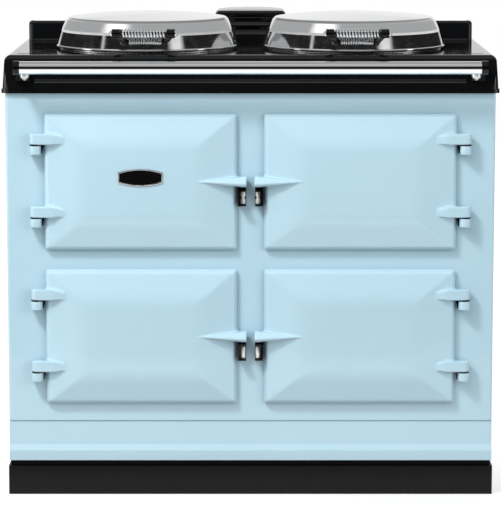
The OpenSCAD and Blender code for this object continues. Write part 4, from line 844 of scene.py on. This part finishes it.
# Shares of a boss's radius and height down its side, and of its radius at its foot
BOSS_SIDE, BOSS_FOOT = [(1.0, 0.42), (0.88, 0.26)], (0.36, 0.3)
BOSS_ROUNDINGS = [0.0006, 0.003, 0.003, 0.0006]
GROOVE_H, GROOVE_DEPTH, GROOVE_ROUNDING = 0.0045, 0.0018, 0.0008
ROLLER_BORE_R, ROLLER_ROUNDING = 0.0033, 0.0012
SMALL_SEGMENTS = 48


def make_bosses():
    """Chrome buttons that stand out of the rail's feet by half: upright, with a cone below."""
    low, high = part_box("rail_bosses")
    tall = high.z - low.z
    r = tall / 2
    outline = [(r - BOSS_EDGE, tall), (r, tall - BOSS_EDGE)]
    outline += [(r * wide, tall * up) for wide, up in BOSS_SIDE]
    outline += [(r * BOSS_FOOT[0], BOSS_FOOT_H), (r * BOSS_FOOT[1], 0)]
    profile = [(0, tall)] + filleted(outline, BOSS_ROUNDINGS) + [(0, 0)]
    buttons = []
    for x in (low.x + r, high.x - r):
        buttons.append(lathe("rail_boss_work", profile, SMALL_SEGMENTS, (x, low.y + r, low.z)))
    stand_in(joined("rail_boss_buttons", buttons), "rail_bosses")


def roller_profile(r, tall, grooved):
    """Half section of a roller round its bore, with a groove at half height if it has one."""
    outline = [(ROLLER_BORE_R, 0), (r, 0), (r, tall), (ROLLER_BORE_R, tall)]
    radii = [ROLLER_ROUNDING, ROLLER_ROUNDING]
    if grooved:
        low, high, waist = (tall - GROOVE_H) / 2, (tall + GROOVE_H) / 2, r - GROOVE_DEPTH
        outline[2:2] = [(r, low), (waist, low), (waist, high), (r, high)]
        radii[1:1] = [GROOVE_ROUNDING] * 4
    return filleted(outline, radii, 4)


def make_rollers():
    """The catch rollers, turned smooth: a groove round each upper one, none round the lower ones."""
    for node in at_corners("roller"):
        low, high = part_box(node)
        profile = roller_profile((high.x - low.x) / 2, high.z - low.z, "top" in node)
        centre = ((low.x + high.x) / 2, (low.y + high.y) / 2, low.z)
        stand_in(lathe(f"{node}_turned", profile, SMALL_SEGMENTS, centre), node)


# ---- Vent housing ----

VENT_CORNER_R, VENT_LEAST_R, VENT_ROUNDING = 0.010, 0.002, 0.0008
VENT_CORNER_STEPS, VENT_BACK_STEPS = 8, 48
SLOT_DEPTH = 0.008
# Each slat's foot above the hob, the height of its upright part, its top, and how far the top leans in
VENT_SLATS = [(0, 0.014, 0.0231, 0.0034), (0.031, 0, 0.0409, 0.0037), (0.0482, 0, 0.0508, 0.001)]
# How far the cap's front and its sides stand in at each height
VENT_CAP = [(0, 0.0025, 0.055), (0.0008, 0.004, 0.060), (0.003, 0.009, 0.0645), (0.014, 0.020, 0.0656)]


def vent_levels():
    """How far the housing's front and sides stand in at each height above the hob."""
    levels = []
    tops = [slat[0] for slat in VENT_SLATS[1:]] + [VENT_CAP[0][2]]
    for (foot, upright, top, lean), above in zip(VENT_SLATS, tops):
        levels.append((0, 0, foot))
        if upright:
            levels.append((0, 0, foot + upright))
        levels += [(lean, lean, top), (SLOT_DEPTH, SLOT_DEPTH, top), (SLOT_DEPTH, SLOT_DEPTH, above)]
    levels += VENT_CAP
    return filleted(levels, [VENT_ROUNDING] * (len(levels) - 2), 3)


def vent_ring(low, high, front_in, side_in, rise):
    """The housing's plan at one height: two rounded front corners and a half-round back."""
    half = (high.x - low.x) / 2
    side, front = half - side_in, low.y + front_in
    r = max(VENT_CORNER_R - min(front_in, side_in), VENT_LEAST_R)
    arcs = [(-side + r, front + r, r, math.pi, 1.5 * math.pi, VENT_CORNER_STEPS),
            (side - r, front + r, r, 1.5 * math.pi, 2 * math.pi, VENT_CORNER_STEPS),
            (0, high.y - half, side, 0, math.pi, VENT_BACK_STEPS)]
    ring = []
    for x, y, radius, start, end, steps in arcs:
        ring += [(x + radius * math.cos(a), y + radius * math.sin(a), low.z + rise)
                 for a in np.linspace(start, end, steps)]
    return ring


def make_vent():
    """The louvred housing at the back of the hob, with sloped slats and a cap that rounds over."""
    low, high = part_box("vent_housing")
    rings = [vent_ring(low, high, *level) for level in vent_levels()]
    count = len(rings[0])
    middle = (0, (low.y + high.y) / 2)
    points = [p for ring in rings for p in ring] + [(*middle, low.z), (*middle, high.z)]
    foot, crown, last = len(points) - 2, len(points) - 1, (len(rings) - 1) * count
    faces = []
    for row in range(len(rings) - 1):
        for i in range(count):
            a, b = row * count + i, row * count + (i + 1) % count
            faces.append((a, b, b + count, a + count))
    for i in range(count):
        j = (i + 1) % count
        faces += [(foot, j, i), (crown, last + i, last + j)]
    made = mesh_object("vent_housing_cast", points, faces)
    tidy_normals(made)
    stand_in(made, "vent_housing")


# ---- Lids ----

# Radius and height above the hob of a lid's wall, band and shoulder, and how round each corner is
LID_PROFILE = [(0.188, 0.005), (0.1795, 0.036), (0.1776, 0.041), (0.17395, 0.049), (0.1686, 0.0595),
               (0.163, 0.065)]
LID_ROUNDINGS = [0.0016, 0.010, 0.010, 0.004, 0.005]
LID_TOP, LID_WALL, LID_BAND_FOOT = 0.075, 0.0025, 0.04
LID_SEGMENTS, DOME_STEPS = 192, 25
RIM_R, RIM_SUNK, RIM_STEPS = 0.0022, 0.0005, 12


def lid_outline(inset):
    """Half section of a lid from its foot to the middle of its dome, inset from the outer face."""
    edge_r, edge_h = LID_PROFILE[-1]
    edge_r -= inset
    top = LID_TOP - inset
    rise = LID_TOP - edge_h
    ball = (edge_r ** 2 + rise ** 2) / (2 * rise)
    limit = math.asin(edge_r / ball)
    dome = []
    for t in np.linspace(0, 1, DOME_STEPS):
        a = limit * (1 - t)
        dome.append((ball * math.sin(a), top - ball * (1 - math.cos(a))))
    walls = [(r - inset, h - (inset if h > LID_BAND_FOOT else 0)) for r, h in LID_PROFILE[:-1]]
    return filleted(walls + dome[:2], LID_ROUNDINGS, 5) + dome[2:-1] + [(0.0, top)]


def make_lids():
    """Two domed shells with a thick wall, each with a rolled rim round its foot."""
    outer, inner = lid_outline(0.0), lid_outline(LID_WALL)
    lid_r, lid_lift = LID_PROFILE[0]
    rim_profile = [(lid_r - RIM_SUNK + RIM_R * math.cos(a), lid_lift + RIM_R + RIM_R * math.sin(a))
                   for a in np.linspace(0, 2 * math.pi, RIM_STEPS, endpoint=False)]
    for side in ("left", "right"):
        node = f"lid_{side}_shell"
        low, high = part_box(node)
        centre = ((low.x + high.x) / 2, (low.y + high.y) / 2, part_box("vent_housing")[0].z)
        shell = lathe(f"lid_{side}_dome", outer + inner[::-1] + [outer[0]], LID_SEGMENTS, centre)
        stand_in(shell, node)
        rim = lathe(f"lid_{side}_rim", rim_profile + rim_profile[:1], LID_SEGMENTS, centre)
        add_on(rim, "chrome", node)


# ---- Coil handles ----

COIL_TURNS, COIL_STEPS = 14, 28
COIL_END_R, COIL_MID_R = 0.0075, 0.0090
WIRE_R, WIRE_SIDES = 0.0019, 12
HANDLE_LUG_T = 0.016
CAP_R, CAP_L, CAP_SEGMENTS = 0.006, 0.006, 32
# Shares of a cap's radius and length: its collar, and the dome on it from its first angle
CAP_COLLAR = [(0, 0), (1, 0), (1, 0.35), (0.92, 0.45)]
CAP_DOME_R, CAP_DOME_FOOT, CAP_DOME_START = 0.9, 0.45, 0.15


def coil_path(x, y, z, half_length):
    """The wire's route: straight leads at both ends, and turns that swell towards the middle."""
    wound = 2 * half_length - 4 * WIRE_R
    path = [(x - half_length, y + COIL_END_R, z)]
    count = COIL_TURNS * COIL_STEPS
    for i in range(count + 1):
        t = i / count
        r = COIL_END_R + (COIL_MID_R - COIL_END_R) * math.sin(math.pi * t)
        a = 2 * math.pi * COIL_TURNS * t
        path.append((x + wound * (t - 0.5), y + r * math.cos(a), z + r * math.sin(a)))
    return path + [(x + half_length, y + COIL_END_R, z)]


def cap_profile():
    """Half section of a handle's end cap."""
    profile = [(CAP_R * wide, CAP_L * along) for wide, along in CAP_COLLAR]
    for a in np.linspace(CAP_DOME_START, math.pi / 2, 8)[:-1]:
        along = CAP_DOME_FOOT + (1 - CAP_DOME_FOOT) * math.sin(a)
        profile.append((CAP_R * CAP_DOME_R * math.cos(a), CAP_L * along))
    return profile + [(0, CAP_L)]


def make_handles():
    """A coil of wire between each lid's lugs, and a cap on each lug's outer end."""
    for side in ("left", "right"):
        node = f"lid_{side}_handle"
        low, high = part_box(node)
        x, y, z = (low.x + high.x) / 2, (low.y + high.y) / 2, (low.z + high.z) / 2
        lug_out = (high.x - low.x) / 2 - CAP_L
        path = coil_path(x, y, z, lug_out - HANDLE_LUG_T)
        stand_in(tube(f"lid_{side}_coil", path, WIRE_R, WIRE_SIDES), node)
        for sign, word in ((-1, "a"), (1, "b")):
            profile = [(r, sign * h) for r, h in cap_profile()]
            centre = (x + sign * lug_out, y, z)
            cap = lathe(f"lid_{side}_cap_{word}", profile, CAP_SEGMENTS, centre, "X")
            add_on(cap, "chrome", node)


# ---- Softened copies of CAD pieces ----

SOFTENED = {
    "lid_left_brackets": 0.0015, "lid_right_brackets": 0.0015, "lid_hinge_blocks": 0.0012,
    "hinge_brackets": 0.0012, "catch_brackets": 0.001, "rail_brackets": 0.0015, "plinth": 0.0012,
    "knob_left": 0.0006, "knob_middle": 0.0006, "knob_right": 0.0006,
    **dict.fromkeys(at_corners("liner"), 0.002), "badge_rim": 0.0005, "hotplate_rings": 0.0008,
}


def make_softened():
    """CAD pieces whose edges only need rounding."""
    for node, width in SOFTENED.items():
        stand_in(soften(node, width), node)


# ---- Floor ----

FLOOR_W, FLOOR_D, FLOOR_Y = 9.0, 8.0, 2.2
# The floor's albedo, and its glow as mirrors see it, and as the camera sees it near the front and far back
FLOOR_TONE, FLOOR_GLOW, FLOOR_NEAR, FLOOR_FAR = 0.38, 0.80, 0.64, 0.86
FLOOR_FADE = 0.1


def mirror_ray(tree, path):
    """1 for a glossy ray that no matt surface has scattered, so that no caustics speckle the enamel."""
    direct = maths(tree, "LESS_THAN", path.outputs["Diffuse Depth"], 0.5)
    return maths(tree, "MULTIPLY", path.outputs["Is Glossy Ray"], direct)


def make_floor():
    """A pale floor, lifted to white by a glow that is low enough in front for a faint shadow to show."""
    bm = bmesh.new()
    bmesh.ops.create_grid(bm, x_segments=1, y_segments=1, size=0.5)
    floor = bm_object("floor", bm, False)
    floor.scale = (FLOOR_W, FLOOR_D, 1)
    floor.location = (0, FLOOR_Y, 0)
    made, tree, shader = new_material("floor_white")
    feed(tree, shader, {"Base Color": grey(FLOOR_TONE), "Roughness": 0.6, "Specular IOR Level": 0.1})
    path = add(tree, "ShaderNodeLightPath")
    mirrored = maths(tree, "MULTIPLY", mirror_ray(tree, path), FLOOR_GLOW)
    place = add(tree, "ShaderNodeNewGeometry").outputs["Position"]
    depth = add(tree, "ShaderNodeSeparateXYZ", None, {"Vector": place}).outputs["Y"]
    bare = spread(tree, depth, FLOOR_NEAR, FLOOR_FAR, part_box("plinth")[0].y - FLOOR_FADE, 0.0)
    seen = spread(tree, path.outputs["Is Camera Ray"], mirrored, bare, 0.0, 1.0)
    glow = add(tree, "ShaderNodeEmission", None, {"Color": grey(1), "Strength": seen})
    both = add(tree, "ShaderNodeAddShader", None, {0: shader.outputs[0], 1: glow.outputs[0]})
    tree.links.new(both.outputs[0], tree.nodes["Material Output"].inputs["Surface"])
    made.cycles.emission_sampling = "NONE"
    floor.data.materials.append(made)


# ---- World ----

AMBIENT = 0.40
# The studio is a bent card. Its brightness follows the tilt in degrees of a mirror that shows it to someone
# who looks at the hob from the front, a little from above.
STUDIO_VIEW = (0, -0.9965, 0.0837)
STUDIO_CARD = [(-90, 0.95), (-9.6, 0.95), (-5, 0.02), (17.9, 0.015), (20.1, 0.95), (22.4, 0.45), (28.4, 0.45),
               (34, 0.52), (42.4, 0.56), (47.4, 0.28), (58.4, 0.30), (66.4, 0.58), (77.4, 0.88), (90, 0.95)]
# Mirrors that face sideways by more than this sine see a strip of light in place of the card
STRIP_FROM, STRIP_FULL, STRIP_LEVEL = 0.965, 0.985, 0.92
# Soft boxes in it: azimuth from the front towards the right, elevation, half width, half height, brightness
SOFT_BOXES = [(-52, 45, 15, 9, 1.5), (41, 23, 9, 5, 0.9), (-60, 22, 2.2, 9, 0.6),
              (-60, -3, 40, 13, 0.8), (56, -3, 24, 13, 0.8), (-80, -2, 7, 16, 5.0), (74, -2, 5, 16, 4.0)]
# Where a soft box's edge starts to fade and where it ends, as shares of its half size
BOX_FADE_FROM, BOX_FADE_TO = 0.55, 1.2


def direction(azimuth, elevation):
    """Unit vector at an azimuth from the front towards the right and an elevation, in degrees."""
    a, e = math.radians(azimuth), math.radians(elevation)
    return Vector((math.sin(a) * math.cos(e), -math.cos(a) * math.cos(e), math.sin(e)))


def level_ramp(tree, share, levels):
    """Greys over degrees from -90 to 90, where share runs from 0 to 1."""
    ramp = add(tree, "ShaderNodeValToRGB", None, {"Fac": share})
    ramp.color_ramp.interpolation = "EASE"
    stops = ramp.color_ramp.elements
    for i, (degrees, level) in enumerate(levels):
        position = (degrees + 90) / 180
        stop = stops[i] if i < 2 else stops.new(position)
        stop.position = position
        stop.color = grey(level)
    return ramp.outputs["Color"]


def studio_walls(tree, way):
    """The studio without its soft boxes: the bent card, and a light strip down each side far back."""
    between = vectors(tree, "ADD", way, STUDIO_VIEW)["Vector"]
    mirror = vectors(tree, "NORMALIZE", between)["Vector"]
    axes = add(tree, "ShaderNodeSeparateXYZ", None, {"Vector": mirror})
    tilt = maths(tree, "ARCSINE", axes.outputs["Z"])
    card = level_ramp(tree, spread(tree, tilt, 0.0, 1.0, -math.pi / 2, math.pi / 2), STUDIO_CARD)
    flat = vectors(tree, "MULTIPLY", mirror, (1, 1, 0))["Vector"]
    across = maths(tree, "DIVIDE", axes.outputs["X"], vectors(tree, "LENGTH", flat)["Value"])
    strip = spread(tree, maths(tree, "ABSOLUTE", across), 0.0, 1.0, STRIP_FROM, STRIP_FULL)
    return blend_colours(tree, strip, card, grey(STRIP_LEVEL))


def soft_box(tree, way, azimuth, elevation, half_width, half_height):
    """Mask of a soft box in the studio: 1 inside, 0 outside, with a soft edge."""
    centre = direction(azimuth, elevation)
    side = direction(azimuth + 90, 0)

    def along(axis):
        return vectors(tree, "DOT_PRODUCT", way, tuple(axis))["Value"]

    mask = spread(tree, along(centre), 0.0, 1.0, 0.0, 0.05)
    for axis, half in ((side, half_width), (centre.cross(side), half_height)):
        reach = math.sin(math.radians(half))
        off = maths(tree, "ABSOLUTE", along(axis))
        inside = spread(tree, off, 1.0, 0.0, reach * BOX_FADE_FROM, reach * BOX_FADE_TO)
        mask = maths(tree, "MULTIPLY", mask, inside)
    return mask


def make_world():
    """White to the camera, an even grey to matt surfaces and a studio to polished ones."""
    world = bpy.data.worlds.new("studio")
    bpy.context.scene.world = world
    world.use_nodes = True
    tree = world.node_tree
    back = tree.nodes["Background"]
    way = add(tree, "ShaderNodeTexCoord").outputs["Generated"]
    seen = studio_walls(tree, way)
    for azimuth, elevation, half_width, half_height, level in SOFT_BOXES:
        mask = soft_box(tree, way, azimuth, elevation, half_width, half_height)
        seen = blend_colours(tree, mask, seen, grey(level))
    path = add(tree, "ShaderNodeLightPath")
    polished = blend_colours(tree, mirror_ray(tree, path), grey(AMBIENT), seen)
    clear = blend_colours(tree, path.outputs["Is Transmission Ray"], polished, grey(1))
    final = blend_colours(tree, path.outputs["Is Camera Ray"], clear, grey(1))
    tree.links.new(final, back.inputs["Color"])
    back.inputs["Strength"].default_value = 1.0


# ---- Lights ----

# Name, azimuth from the front towards the right, elevation, distance, size and watts
LIGHTS = [("key", -26, 34, 4.0, 2.4, 40), ("crisp", -36, 46, 4.0, 0.6, 80),
          ("fill", 40, 14, 4.5, 2.4, 54), ("edge", -78, 12, 4.0, 1.2, 24)]
LIGHT_AIM = Vector((0, 0, 0.55))


def make_lights():
    """Square soft lights that face the object. Polished surfaces see the studio and not these."""
    for name, azimuth, elevation, distance, size, watts in LIGHTS:
        data = bpy.data.lights.new(name, "AREA")
        data.size = size
        data.energy = watts
        made = placed(name, data)
        back = direction(azimuth, elevation)
        made.location = LIGHT_AIM + back * distance
        made.rotation_mode = "QUATERNION"
        made.rotation_quaternion = back.to_track_quat("Z", "Y")
        made.visible_glossy = False


# ---- The scene ----

dress_cad()
make_camera()
make_doors()
make_lower_panel()
make_dials()
make_hinge_shade_packing()
make_bosses()
make_rollers()
make_vent()
make_lids()
make_handles()
make_softened()
make_floor()
make_world()
make_lights()
bpy.context.scene.view_settings.view_transform = "Standard"
